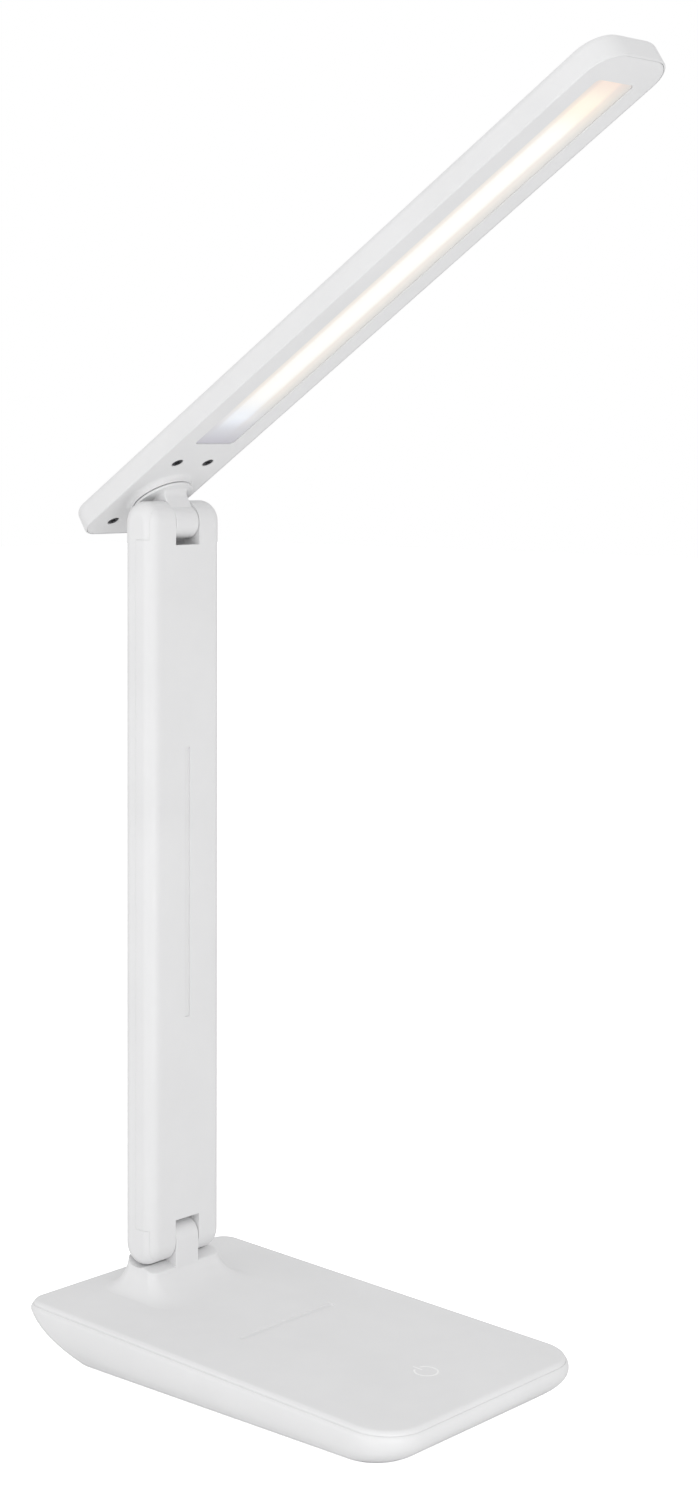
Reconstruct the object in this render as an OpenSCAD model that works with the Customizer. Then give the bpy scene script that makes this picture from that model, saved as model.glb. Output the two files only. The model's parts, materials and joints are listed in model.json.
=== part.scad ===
// Folding desk lamp with an LED strip: a weighted wedge base, an upright arm hinged
// at both ends, and a flat head that tilts on a neck and swivels on a turret.
// +Z is up and the user sits on the -Y side. The origin is the centre of the resting face.
// The arm is drawn upright and the head raised by head_tilt, as the lamp stands in use.

/* [Base] */
// Length of the base, front to rear
base_len = 180; // [174:1:190]
// Width of the base
base_w = 108; // [104:1:116]
// Height of the base's top face at its front edge
base_front_h = 14.4; // [14.2:0.1:15.4]
// Height of the base's top face at its rear edge
base_rear_h = 21; // [20.4:0.1:22]
// Corner radius of the rim at the front
front_corner_r = 16.5; // [13:0.5:20]
// Corner radius of the rim at the rear
rear_corner_r = 8.5; // [7:0.5:12]
// How far the bottom is drawn in along the sides
side_rake = 5.6; // [4.6:0.1:6]
// How far the bottom is drawn in at the two ends
end_rake = 9.7; // [8:0.1:10]
// Wall of the two base shells
base_wall = 2.2; // [2:0.1:2.4]
// Thickness of the steel ballast plate
ballast_t = 6; // [4:0.5:6.5]
// How far the foot pad stands below the tray
pad_proud = 1; // [0.8:0.1:1.4]

/* [Arm] */
// Distance of the hinge axes behind the middle of the base
arm_y = 63; // [60:0.5:64]
// Height of the lower hinge's axis
lower_axis_z = 37.6; // [37.4:0.1:39.2]
// Distance between the two hinge axes
hinge_span = 270.8; // [266.8:2:300.8]
// Width of the arm
arm_w = 38; // [37:0.5:41]
// Thickness of the arm, which is also twice the radius of its round ends
arm_t = 16; // [16:0.1:16.6]
// Radius of the arm's long edges
arm_edge_r = 5; // [4:0.25:5.5]
// Wall of the arm's shells
arm_wall = 2; // [1.8:0.1:2]
// Length of the line sunk in the arm's front
line_len = 102; // [80:2:120]

/* [Hinges] */
// Radius of the knuckles on the tongue and the neck
knuckle_r = 6.2; // [5.8:0.1:6.3]
// Width of the knuckles
knuckle_w = 11.8; // [11:0.1:12]
// Radius of the hinge pins
pin_r = 2.2; // [1.8:0.1:2.4]
// Radial play of a knuckle on its pin
pin_play = 0.05; // [0.03:0.01:0.08]

/* [Head] */
// Width of the head
head_w = 38.6; // [38:0.2:42]
// Thickness of the head
head_t = 9.4; // [9.2:0.1:10.4]
// Reach of the head in front of the swivel
head_front = 263; // [253:1:265]
// Reach of the head behind the swivel
head_back = 31; // [29:0.5:34]
// How far the head is raised above level
head_tilt = 32.5; // [20:0.5:45]
// Distance from the upper hinge's axis to the head's underside
head_drop = 14; // [13.8:0.1:14.6]
// Height of the turret under the head
turret_h = 2.3; // [2.2:0.05:2.4]
// Radius of the turret's face
turret_r = 12.3; // [11.4:0.1:12.8]
// Width of the light window
window_w = 20.2; // [18:0.2:22]
// Length of the light window
window_len = 216; // [200:2:216]

/* [Hidden] */
$fn = 64;

shell_white = "#ECECED";
white_soft = "#F4F4F4";
steel = "#B9BCC0";
board_green = "#2F6B45";
copper = "#B87333";
dark_rubber = "#3A3B3D";
lead_grey = "#D9D9D6";

eps = 0.01;
far = 400;
gap = 0.1;

// Base: the top face is a plane that drops toward the user
base_mid_h = (base_front_h + base_rear_h) / 2;
base_tilt = atan((base_rear_h - base_front_h) / base_len);
cover_edge_h = 1.5;
cover_edge_in = 1;
seam_step = 0.15;
cover_drop = 2.4;
hull_steps = 5;
rim_below_top = 2.6;
hull_fn = 40;
bottom_front_r = 14;
bottom_rear_r = 22;
floor_z = pad_proud + base_wall;
pad_sunk = 0.5;
pad_in = 5;
pad_play = 0.03;

// Saddle that carries the tongue
saddle_lip_z = 27.9;
saddle_rise = 17;
saddle_w = arm_w - 1;
saddle_d = 15.6;
saddle_set = 1.7;
saddle_y = arm_y + saddle_set;
saddle_r = 3.5;
seat_play = 0.4;
saddle_flare_side = 8;
saddle_flare_front = 18;
saddle_flare_rear = 9;
saddle_rings = 9;
saddle_corner_points = 7;

// Groove that holds a phone, and the touch mark over the control board
groove_len = 50;
groove_w = 2.6;
groove_depth = 0.8;
groove_y = 5.5;
icon_y = 30 - base_len / 2;
icon_r = 4.6;
icon_line = 0.7;
icon_depth = 0.3;
icon_gap_angle = 32;

// Screw posts and standoffs in the base, placed from its sides and ends
post_x = base_w / 2 - 16;
post_y = base_len / 2 - 26;
post_r = 3.2;
boss_r = 4.2;
boss_top_z = 6.4;
screw_r = 1.5;
screw_head_r = 2.8;
screw_head_t = 1.7;
screw_sink = 2.5;
screw_clear = 0.2;
base_screw_len = 9;

ballast_front_y = 64 - base_len / 2;
ballast_rear_y = base_len / 2 - 33;
ballast_half_w = base_w / 2 - 10;
ballast_corner_r = 4;
ballast_hole_in = 10;
ballast_hole_x = ballast_half_w - ballast_hole_in;
ballast_boss_r = 3.4;
ballast_head_r = 4.6;

board_t = 1.6;
board_z = 8;
board_w = base_w - 50;
board_d = 36;
board_y = icon_y;
peg_r = 1;
peg_proud = 0.4;
standoff_r = 2.2;
standoff_x = board_w / 2 - 5;
standoff_dy = board_d / 2 - 4;
chip_h = 1.4;
// Each chip's middle from the middle of the board, and its width and depth
chips = [[-16, -8, 6, 5], [12, -8, 6, 5], [-18, 12, 9, 4]];
spring_r = 3.6;
spring_wire_r = 0.35;
spring_turns = 3;
spring_points_per_turn = 10;

socket_board_t = 1;
socket_board_w = 22;
socket_board_l = 13.5;
socket_board_rear_y = base_len / 2 - 7.5;
socket_board_front_y = socket_board_rear_y - socket_board_l;
socket_standoff_x = 7;
socket_standoff_y = socket_board_rear_y - 8.5;
socket_w = 8.9;
socket_h = 3.2;
socket_depth = 7.6;
socket_wall = 0.3;
socket_mouth_in = 3;
socket_tongue_h = 0.7;
socket_tongue_w = 6.7;
socket_play = 0.2;

// Leads in the base: how they lie beside the middle and where they leave the boards
lead_x = 10;
lead_over = 2.4;
lead_end_in = 1.5;
lead_step = 7;

// Hinges, each about a line along X
arm_r = arm_t / 2;
arm_set = 2;
slot_play = 0.3;
slot_w = knuckle_w + 2 * slot_play;
lower_slot_h = 8.2;
upper_slot_h = 8.4;
upper_slot_rear_h = knuckle_r + slot_play;
slot_wall = 1.5;
disc_r = 3.7;
disc_play = 0.05;
bracket_t = 1.5;
bracket_reach = 34;
bracket_front_y = -3.7;
pin_head_r = 3.6;
pin_head_t = 2.2;
washer_r = 3.7;
washer_t = 0.55;
nut_af = 7.2;
nut_t = 4;
pin_past_nut = 0.6;
riser_y = 4.2;
riser_r = 0.9;
riser_play = 0.2;

// Arm: the shells meet at mid-thickness, and beside the hinges behind the front face
arm_cover_t = arm_wall;
arm_seam = 0.3;
seam_jog = 6.3;
seam_play = 0.05;
arm_post_r = 2.6;
post_gap = 0.02;
arm_screw_x = 12.5;
arm_screw_inset = 44;
arm_screw_head_r = 2.2;
arm_screw_head_t = 1.2;
arm_screw_sink = 1.4;
arm_screw_r = 1.1;
arm_screw_len = 9.5;
line_w = 2.4;
line_depth = 0.5;
arm_lead_r = 1.1;

// Head: -Y points along the head, +Z away from the underside
tip_r = 11.5;
back_r = 9;
head_turn = -0.5;
head_edge = 2.4;
head_wall = 1.6;
panel_in = 0.7;
panel_gap = 0.15;
panel_t = 2;
head_top_t = 1.6;
turret_root_r = 14.3;
turret_steps = 6;
disc_gap = 0.3;
neck_disc_t = 1;
neck_disc_r = turret_r - 0.2;
neck_front = 5.2;
swivel_set = 1.7;
stem_r = 5;
stem_bore_r = 3;
stem_play = 0.05;
swivel_plate_t = 1.2;
swivel_plate_w = 24;
swivel_plate_l = 50;
swivel_washer_t = 0.6;
swivel_washer_r = 8;
swivel_nut_t = 2;
swivel_nut_af = 14;
stem_past_nut = 0.3;
head_screw_x = 8;
head_screw_front = 21;
head_screw_back = 20.3;
head_screw_r = 1.1;
head_screw_head_r = 2;
head_screw_head_t = 1;
head_screw_hole_r = 2.3;
head_screw_seat = 1.2;
head_screw_len = 6;
head_post_r = 2.6;
window_front = 34;
window_r = 2;
diffuser_lap = 1.4;
diffuser_t = 1.6;
diffuser_sunk = 0.5;
reflector_t = 0.8;
led_board_t = 1;
led_h = 0.7;
led_w = 2.8;
led_l = 3.5;
led_count = 28;
led_board_z = head_t - head_top_t - led_board_t;
head_lead_r = 0.6;
head_lead_bend = 2.6;

// Height of the base's top face at a distance y behind the middle
function top_z(y) = base_mid_h + y * tan(base_tilt);
// Height of the saddle's top, which rises toward the rear
function seat_z(y) = saddle_lip_z + (y - saddle_y + saddle_d / 2) * tan(saddle_rise);
function unit(v) = v / norm(v);

module rounded(w, l, front_r, rear_r) {
    side_l = l - front_r - rear_r;
    translate([-w / 2, front_r - l / 2]) square([w, side_l]);
    translate([front_r - w / 2, -l / 2]) square([w - 2 * front_r, front_r + eps]);
    translate([rear_r - w / 2, l / 2 - rear_r - eps]) square([w - 2 * rear_r, rear_r + eps]);
    for (side = [-1, 1]) {
        translate([side * (w / 2 - front_r), front_r - l / 2]) circle(front_r);
        translate([side * (w / 2 - rear_r), l / 2 - rear_r]) circle(rear_r);
    }
}

// Extrudes an outline drawn in Y and Z along X, about the middle
module along_x(w) {
    rotate([90, 0, 90]) linear_extrude(w, center = true) children();
}

module x_cylinder(r, from, to) {
    translate([from, 0, 0]) rotate([0, 90, 0]) cylinder(r = r, h = to - from);
}

module on_top(depth = 0) {
    translate([0, 0, base_mid_h]) rotate([base_tilt, 0, 0]) translate([0, 0, -depth]) children();
}

module at_lower() {
    translate([0, arm_y, lower_axis_z]) children();
}

module at_upper() {
    translate([0, arm_y, lower_axis_z + hinge_span]) children();
}

module at_neck() {
    at_upper() rotate([-head_tilt, 0, 0]) children();
}

module at_underside(z = 0) {
    at_neck() translate([0, swivel_set, head_drop + z]) rotate([0, 0, head_turn]) children();
}

// A round lead or wire through a list of points, its section kept square to the run
module swept(points, r, sides, side_hint) {
    last = len(points) - 1;
    rings = [for (i = [0:last])
        let (before = points[max(i - 1, 0)])
        let (after = points[min(i + 1, last)])
        let (run = unit(after - before))
        let (u = unit(cross(run, side_hint)))
        let (v = cross(run, u))
        for (k = [0:sides - 1])
            points[i] + r * (cos(360 * k / sides) * u + sin(360 * k / sides) * v)];
    skin = [for (i = [0:last - 1]) for (k = [0:sides - 1])
        let (next = (k + 1) % sides)
        for (face = [[i * sides + k, i * sides + next, (i + 1) * sides + next],
                     [i * sides + k, (i + 1) * sides + next, (i + 1) * sides + k]]) face];
    start = [for (k = [sides - 1:-1:0]) k];
    end = [for (k = [0:sides - 1]) last * sides + k];
    polyhedron(points = rings, faces = concat([start, end], skin), convexity = 6);
}

// A pan-head screw: the head's flat is at z = 0 and the shank runs up
module screw(head_r, head_t, r, length) {
    slot = head_r / 3;
    difference() {
        translate([0, 0, -head_t]) cylinder(r = head_r, h = head_t);
        for (turn = [0, 90]) {
            rotate([0, 0, turn]) translate([0, 0, -head_t])
                cube([head_r * 1.3, slot, head_t], center = true);
        }
    }
    cylinder(r = r, h = length);
}

// ---- Base ----

// One level of the base's outer form: t is 0 at the bottom and 1 at the rim
module base_level(t, inset) {
    drawn = (1 - t) * (1 - t);
    z = pad_proud + t * (base_mid_h - rim_below_top - pad_proud);
    front_r = front_corner_r * t + bottom_front_r * (1 - t) - inset;
    rear_r = rear_corner_r * t + bottom_rear_r * (1 - t) - inset;
    w = base_w - 2 * inset - 2 * side_rake * drawn;
    l = base_len - 2 * inset - 2 * end_rake * drawn;
    translate([0, 0, z]) rotate([base_tilt * t, 0, 0])
        linear_extrude(eps) rounded(w, l, front_r, rear_r, $fn = hull_fn);
}

module base_form(inset) {
    hull() {
        for (i = [0:hull_steps]) base_level(i / hull_steps, inset, $fn = hull_fn);
        on_top(cover_edge_h + eps) linear_extrude(eps)
            cover_outline(inset > 0 ? inset : cover_edge_in - seam_step);
    }
}

module cover_outline(inset) {
    rounded(base_w - 2 * inset, base_len - 2 * inset, front_corner_r - inset,
        rear_corner_r - inset, $fn = hull_fn);
}

module at_posts() {
    for (x = [-post_x, post_x]) {
        for (y = [-post_y, post_y]) translate([x, y, 0]) children();
    }
}

module at_ballast_holes() {
    for (x = [-ballast_hole_x, ballast_hole_x]) {
        for (y = [ballast_front_y + ballast_hole_in, ballast_rear_y - ballast_hole_in])
            translate([x, y, 0]) children();
    }
}

module at_pegs() {
    for (x = [-standoff_x, standoff_x]) {
        for (dy = [-standoff_dy, standoff_dy]) translate([x, board_y + dy, 0]) children();
    }
}

module base_tray() {
    color(shell_white) difference() {
        union() {
            difference() {
                base_form(0);
                tray_cavity();
            }
            at_posts() cylinder(r = boss_r, h = boss_top_z);
            at_ballast_holes() cylinder(r = ballast_boss_r, h = floor_z + ballast_t - 0.2);
            at_pegs() cylinder(r = standoff_r, h = board_z);
            at_pegs() cylinder(r = peg_r, h = board_z + board_t + peg_proud);
            for (x = [-socket_standoff_x, socket_standoff_x]) {
                translate([x, socket_standoff_y, 0]) cylinder(r = standoff_r, h = board_z);
            }
        }
        below_tray();
        pad_space(pad_play);
        at_posts() translate([0, 0, pad_proud]) cylinder(r = screw_head_r + screw_clear, h = screw_sink);
        at_posts() cylinder(r = screw_r + screw_clear, h = boss_top_z + eps);
        at_ballast_holes() translate([0, 0, floor_z]) cylinder(r = screw_r, h = ballast_t + eps);
        socket_opening();
    }
}

module tray_cavity() {
    intersection() {
        base_form(base_wall);
        translate([-far / 2, -far / 2, floor_z]) cube(far);
    }
}

module below_tray() {
    translate([-far / 2, -far / 2, pad_proud - far]) cube(far);
}

module pad_space(play) {
    translate([0, 0, pad_proud]) linear_extrude(pad_sunk) pad_outline(play);
}

module pad_outline(play) {
    rounded(base_w - 2 * (side_rake + pad_in - play), base_len - 2 * (end_rake + pad_in - play),
        bottom_front_r - pad_in, bottom_rear_r - pad_in);
}

module foot_pad() {
    color(dark_rubber) linear_extrude(pad_proud + pad_sunk) pad_outline(0);
}

module socket_opening() {
    translate([0, base_len / 2, board_z + socket_board_t + socket_h / 2]) rotate([90, 0, 0])
        linear_extrude(2 * socket_depth, center = true) stadium(socket_w + 2 * socket_play,
            socket_h + 2 * socket_play);
}

module stadium(w, h) {
    square([w - h, h], center = true);
    for (side = [-1, 1]) translate([side * (w - h) / 2, 0]) circle(h / 2);
}

module base_cover() {
    color(shell_white) difference() {
        union() {
            hull() {
                on_top(cover_edge_h) linear_extrude(eps) cover_outline(cover_edge_in);
                on_top(cover_edge_h / 3) linear_extrude(eps) cover_outline(cover_edge_in + 0.3);
                on_top(eps) linear_extrude(eps) cover_outline(cover_edge_in + 1.3);
            }
            on_top(cover_drop) linear_extrude(cover_drop - cover_edge_h + eps)
                cover_outline(base_wall + cover_edge_in);
            cover_posts();
            saddle();
            at_lower() tongue();
        }
        at_posts() translate([0, 0, boss_top_z - eps]) cylinder(r = screw_r, h = base_screw_len - 2);
        at_lower() x_cylinder(pin_r + pin_play, -arm_w / 2, arm_w / 2);
        translate([0, arm_y + riser_y, board_z]) cylinder(r = riser_r + riser_play, h = far / 2);
        on_top(groove_depth) linear_extrude(far / 2) translate([0, groove_y]) stadium(groove_len, groove_w);
        on_top(icon_depth) translate([0, icon_y, 0]) linear_extrude(far / 2) icon_outline();
    }
}

module cover_posts() {
    for (x = [-post_x, post_x]) {
        for (y = [-post_y, post_y]) {
            translate([x, y, boss_top_z]) cylinder(r = post_r, h = top_z(y) - cover_edge_h - boss_top_z);
        }
    }
}

// The saddle flares from the base's top face up to the arm's width, with hollow sides,
// and its top is hollowed for the arm's round end
module saddle() {
    difference() {
        saddle_body();
        at_lower() translate([0, arm_set, 0]) x_cylinder(arm_r + seat_play, -arm_w, arm_w);
    }
}

module saddle_body() {
    corner = [for (k = [0:saddle_corner_points - 1]) 90 * k / (saddle_corner_points - 1)];
    ring_size = 4 * saddle_corner_points;
    levels = [for (i = [0:saddle_rings - 1]) 90 * i / (saddle_rings - 1)];
    shell = [for (a = levels) each saddle_ring(1 - cos(a), 1 - sin(a), corner)];
    foot = [for (p = saddle_ring(1, 0, corner)) p - [0, 0, cover_edge_h]];
    points = concat(shell, foot);
    skin = [for (i = [0:saddle_rings - 1]) for (k = [0:ring_size - 1])
        let (next = (k + 1) % ring_size)
        for (face = [[i * ring_size + k, i * ring_size + next, (i + 1) * ring_size + next],
                     [i * ring_size + k, (i + 1) * ring_size + next, (i + 1) * ring_size + k]]) face];
    lid = [for (k = [ring_size - 1:-1:0]) k];
    sole = [for (k = [0:ring_size - 1]) saddle_rings * ring_size + k];
    polyhedron(points = points, faces = concat([lid, sole], skin), convexity = 4);
}

// One ring of the saddle: out is its flare from 0 to 1, and up its height from 0 to 1
function saddle_ring(out, up, corner) =
    let (r = saddle_r + out * saddle_flare_side)
    let (half_w = saddle_w / 2 + out * saddle_flare_side)
    let (front = saddle_d / 2 + out * saddle_flare_front)
    let (rear = saddle_d / 2 + out * saddle_flare_rear)
    [for (quarter = [0:3]) for (a = corner)
        let (x_side = (quarter == 0 || quarter == 3) ? 1 : -1)
        let (y_reach = quarter < 2 ? rear - r : r - front)
        let (angle = a + 90 * quarter)
        let (x = x_side * (half_w - r) + r * cos(angle))
        let (y = saddle_y + y_reach + r * sin(angle))
        [x, y, seat_z(y) * up + top_z(y) * (1 - up)]];

// The tongue's front runs straight down into the saddle's front
module tongue() {
    stand = lower_axis_z - saddle_lip_z + 2;
    along_x(knuckle_w) {
        circle(knuckle_r);
        translate([-knuckle_r, -stand]) square([2 * knuckle_r, stand]);
    }
}

module icon_outline() {
    difference() {
        circle(icon_r);
        circle(icon_r - icon_line);
        translate([0, icon_r]) square([icon_r * tan(icon_gap_angle), 2 * icon_r], center = true);
    }
    translate([-icon_line / 2, icon_r * 0.3]) square([icon_line, icon_r]);
}

module power_icon() {
    color(white_soft) on_top(icon_depth) translate([0, icon_y, 0]) linear_extrude(icon_depth) icon_outline();
}

module base_screws() {
    color(steel) at_posts() translate([0, 0, pad_proud + screw_sink])
        screw(screw_head_r, screw_head_t, screw_r, base_screw_len);
}

module ballast_plate() {
    color(steel) difference() {
        translate([0, (ballast_front_y + ballast_rear_y) / 2, floor_z]) linear_extrude(ballast_t)
            rounded(2 * ballast_half_w, ballast_rear_y - ballast_front_y, ballast_corner_r, ballast_corner_r);
        at_ballast_holes() cylinder(r = ballast_boss_r + gap, h = far);
    }
}

module ballast_screws() {
    color(steel) at_ballast_holes() translate([0, 0, floor_z + ballast_t]) mirror([0, 0, 1])
        screw(ballast_head_r, screw_head_t, screw_r, ballast_t - 1);
}

module control_board() {
    color(board_green) difference() {
        translate([0, board_y, board_z + board_t / 2]) cube([board_w, board_d, board_t], center = true);
        at_pegs() cylinder(r = peg_r + gap, h = far / 2);
    }
    color(dark_rubber) for (chip = chips) {
        translate([chip[0], board_y + chip[1], board_z + board_t + chip_h / 2])
            cube([chip[2], chip[3], chip_h], center = true);
    }
}

module touch_spring() {
    foot = board_z + board_t + spring_wire_r;
    rise = top_z(icon_y - spring_r) - cover_drop - gap - spring_wire_r - foot;
    steps = spring_turns * spring_points_per_turn;
    points = [for (i = [0:steps])
        let (a = 360 * i / spring_points_per_turn)
        [spring_r * cos(a), icon_y + spring_r * sin(a), foot + rise * i / steps]];
    color(copper) swept(points, spring_wire_r, 8, [0, 0, 1]);
}

module socket_board() {
    depth = socket_board_rear_y - socket_board_front_y;
    color(board_green) translate([-socket_board_w / 2, socket_board_front_y, board_z])
        cube([socket_board_w, depth, socket_board_t]);
}

module power_socket() {
    mouth_y = base_len / 2 - socket_mouth_in;
    z = board_z + socket_board_t + socket_h / 2;
    color(steel) translate([0, mouth_y, z]) rotate([90, 0, 0]) difference() {
        linear_extrude(socket_depth) stadium(socket_w, socket_h);
        translate([0, 0, -eps]) linear_extrude(socket_depth - 1)
            stadium(socket_w - 2 * socket_wall, socket_h - 2 * socket_wall);
    }
    color(dark_rubber) translate([0, mouth_y - socket_depth / 2 - 0.5, z])
        cube([socket_tongue_w, socket_depth - 1, socket_tongue_h], center = true);
}

// How high the leads lie over the ballast, where they reach its front edge, and the board's edge
lead_z = floor_z + ballast_t + lead_over;
lead_ballast_y = ballast_front_y + 1;
lead_board = [0, board_y + board_d / 2 - lead_end_in, board_z + board_t + riser_r];

// The lead from the socket's board to the control board runs over the ballast on the right
module supply_lead() {
    start_y = socket_board_front_y + lead_end_in;
    start_z = board_z + socket_board_t + riser_r;
    points = [[lead_x - 4, start_y, start_z], [lead_x - 2, start_y - lead_step / 2, lead_z - 0.6],
        [lead_x, start_y - 1.5 * lead_step, lead_z], [lead_x, start_y - lead_step * 7, lead_z],
        [lead_x, lead_ballast_y, lead_z], [lead_x - 1, lead_ballast_y - lead_step, lead_z],
        lead_board + [lead_x - 2, 0, 0]];
    color(lead_grey) swept(points, riser_r, 8, [1, 0, 0]);
}

// The lead to the head runs over the ballast on the left and up through the tongue
module riser_lead() {
    y = arm_y + riser_y;
    points = [lead_board - [lead_x - 2, 0, 0], [1 - lead_x, lead_ballast_y - lead_step, lead_z],
        [2 - lead_x, lead_ballast_y, lead_z], [4 - lead_x, y - lead_step * 7, lead_z],
        [-3, y - 12, lead_z], [-1, y - 3.5, lead_z + 0.4], [0, y - 0.8, lead_z + 2],
        [0, y, lead_z + 5], [0, y, saddle_lip_z], [0, y, lower_axis_z + knuckle_r - 2.6]];
    color(lead_grey) swept(points, riser_r, 8, [1, 0, 0]);
}

// ---- Arm ----

module arm_form(inset) {
    intersection() {
        translate([0, 0, -arm_r]) linear_extrude(hinge_span + arm_t)
            rounded(arm_w - 2 * inset, arm_t - 2 * inset, arm_edge_r - inset, arm_edge_r - inset);
        along_x(arm_w) {
            circle(arm_r - inset);
            translate([inset - arm_r, 0]) square([arm_t - 2 * inset, hinge_span]);
            translate([0, hinge_span]) circle(arm_r - inset);
        }
        translate([0, arm_r, hinge_span / 2]) rotate([90, 0, 0]) linear_extrude(arm_t)
            rounded(arm_w - 2 * inset, hinge_span + arm_t - 2 * inset, arm_edge_r - inset,
                arm_edge_r - inset);
    }
}

// Space for a knuckle at one end: open to the front, and to the rear only at the top
module slots() {
    depth = arm_t + knuckle_r + slot_play;
    translate([-slot_w / 2, -arm_t, -arm_t]) cube([slot_w, depth, arm_t + lower_slot_h]);
    translate([-slot_w / 2, -arm_t, hinge_span - upper_slot_h])
        cube([slot_w, depth, arm_t + upper_slot_h]);
    translate([-slot_w / 2, 0, hinge_span - upper_slot_rear_h])
        cube([slot_w, arm_t, arm_t + upper_slot_rear_h]);
}

module slot_walls() {
    half = slot_w / 2 + slot_wall;
    translate([-half, -arm_r, -arm_r]) cube([2 * half, arm_t, arm_r + lower_slot_h + slot_wall]);
    for (side = [-1, 1]) {
        translate([side * (half - slot_wall / 2) - slot_wall / 2, -arm_r,
                   hinge_span - upper_slot_h - slot_wall])
            cube([slot_wall, arm_t, arm_r + upper_slot_h + slot_wall]);
    }
}

module at_both_axes() {
    for (z = [0, hinge_span]) translate([0, 0, z]) children();
}

module at_arm_screws() {
    for (x = [-arm_screw_x, arm_screw_x]) {
        for (z = [arm_screw_inset, hinge_span - arm_screw_inset]) {
            translate([x, arm_r - arm_screw_sink, z]) rotate([90, 0, 0]) children();
        }
    }
}

// What belongs to the front shell: the face all along, and the sides between the hinges
module cover_space(less) {
    translate([-arm_w, -2 * arm_t - arm_r + arm_cover_t - less, -arm_t])
        cube([2 * arm_w, 2 * arm_t, far]);
    translate([-arm_w, -2 * arm_t + arm_seam - less, seam_jog + less])
        cube([2 * arm_w, 2 * arm_t, hinge_span - 2 * (seam_jog + less)]);
}

module arm_walls() {
    difference() {
        arm_form(0);
        difference() {
            arm_form(arm_wall);
            slot_walls();
        }
    }
}

module arm_channel() {
    color(shell_white) at_lower() difference() {
        translate([0, arm_set, 0]) difference() {
            arm_walls();
            difference() {
                cover_space(0);
                arm_form(arm_wall + seam_play);
            }
            at_arm_screws() {
                cylinder(r = arm_screw_r + screw_clear, h = arm_t);
                translate([0, 0, -arm_t]) cylinder(r = arm_screw_head_r + screw_clear, h = arm_t);
            }
        }
        slots();
        at_both_axes()
            x_cylinder(disc_r + gap, -slot_w / 2 - slot_wall - eps, slot_w / 2 + slot_wall + eps);
        translate([0, riser_y - 1, 0]) cylinder(r = arm_lead_r + 0.4, h = 2 * arm_t);
    }
}

module arm_cover() {
    color(shell_white) at_lower() difference() {
        translate([0, arm_set, 0]) difference() {
            union() {
                difference() {
                    intersection() {
                        arm_form(0);
                        cover_space(seam_play);
                    }
                    arm_form(arm_wall);
                }
                at_arm_screws() translate([0, 0, arm_wall - arm_screw_sink + post_gap])
                    cylinder(r = arm_post_r, h = arm_t - arm_wall - arm_cover_t + gap);
            }
            at_arm_screws() cylinder(r = arm_screw_r, h = arm_screw_len + eps);
            translate([-line_w / 2, -arm_r - eps, (hinge_span - line_len) / 2])
                cube([line_w, line_depth + eps, line_len]);
        }
        slots();
    }
}

module arm_screws() {
    color(steel) at_lower() translate([0, arm_set, 0]) at_arm_screws()
        screw(arm_screw_head_r, arm_screw_head_t, arm_screw_r, arm_screw_len);
}

module arm_lead() {
    y = arm_set + arm_cover_t + arm_lead_r + gap - arm_r;
    color(lead_grey) at_lower() translate([0, y, lower_slot_h + slot_wall + 1])
        cylinder(r = arm_lead_r, h = hinge_span - lower_slot_h - upper_slot_h - 2 * slot_wall - 2);
}

// A steel fork inside the arm: two cheeks on the pin and a back plate on the rear wall
module bracket(slot_h) {
    inner = slot_w / 2 + slot_wall;
    rear_y = arm_set + arm_r - arm_wall;
    web_z = slot_h + slot_wall + 1;
    difference() {
        union() {
            for (side = [-1, 1]) {
                translate([side * (inner + bracket_t / 2), 0, 0]) {
                    translate([-bracket_t / 2, bracket_front_y, 0])
                        cube([bracket_t, rear_y - bracket_front_y - gap, bracket_reach]);
                    rotate([0, 90, 0]) cylinder(r = -bracket_front_y, h = bracket_t, center = true);
                }
            }
            translate([-inner - bracket_t, rear_y - bracket_t - gap, web_z])
                cube([2 * (inner + bracket_t), bracket_t, bracket_reach - web_z]);
        }
        x_cylinder(pin_r, -arm_w / 2, arm_w / 2);
    }
}

module pin() {
    cheek = slot_w / 2 + slot_wall + bracket_t;
    x_cylinder(pin_r, -cheek, cheek + 2 * washer_t + nut_t + pin_past_nut);
    x_cylinder(pin_head_r, -cheek - pin_head_t, -cheek);
}

module nut() {
    start = slot_w / 2 + slot_wall + bracket_t + 2 * washer_t;
    difference() {
        translate([start, 0, 0]) rotate([0, 90, 0]) cylinder(r = nut_af / sqrt(3), h = nut_t, $fn = 6);
        x_cylinder(pin_r, start - 1, start + nut_t + 1);
    }
}

module spring_washers() {
    start = slot_w / 2 + slot_wall + bracket_t;
    for (i = [0, 1]) {
        difference() {
            x_cylinder(washer_r, start + i * washer_t + i * eps, start + (i + 1) * washer_t);
            x_cylinder(pin_r, 0, arm_w);
        }
    }
}

module friction_discs() {
    inner = knuckle_w / 2 + disc_play;
    outer = slot_w / 2 + slot_wall;
    for (side = [-1, 1]) {
        difference() {
            x_cylinder(disc_r, side > 0 ? inner : -outer, side > 0 ? outer : -inner);
            x_cylinder(pin_r, -arm_w, arm_w);
        }
    }
}

module upside_down() {
    mirror([0, 0, 1]) children();
}

module lower_bracket() { color(steel) at_lower() bracket(lower_slot_h); }
module lower_pin() { color(steel) at_lower() pin(); }
module lower_nut() { color(steel) at_lower() nut(); }
module lower_spring_washers() { color(steel) at_lower() spring_washers(); }
module lower_friction_discs() { color(dark_rubber) at_lower() friction_discs(); }
module upper_bracket() { color(steel) at_upper() upside_down() bracket(upper_slot_h); }
module upper_pin() { color(steel) at_upper() pin(); }
module upper_nut() { color(steel) at_upper() nut(); }
module upper_spring_washers() { color(steel) at_upper() spring_washers(); }
module upper_friction_discs() { color(dark_rubber) at_upper() friction_discs(); }

// ---- Neck and head ----

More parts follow.
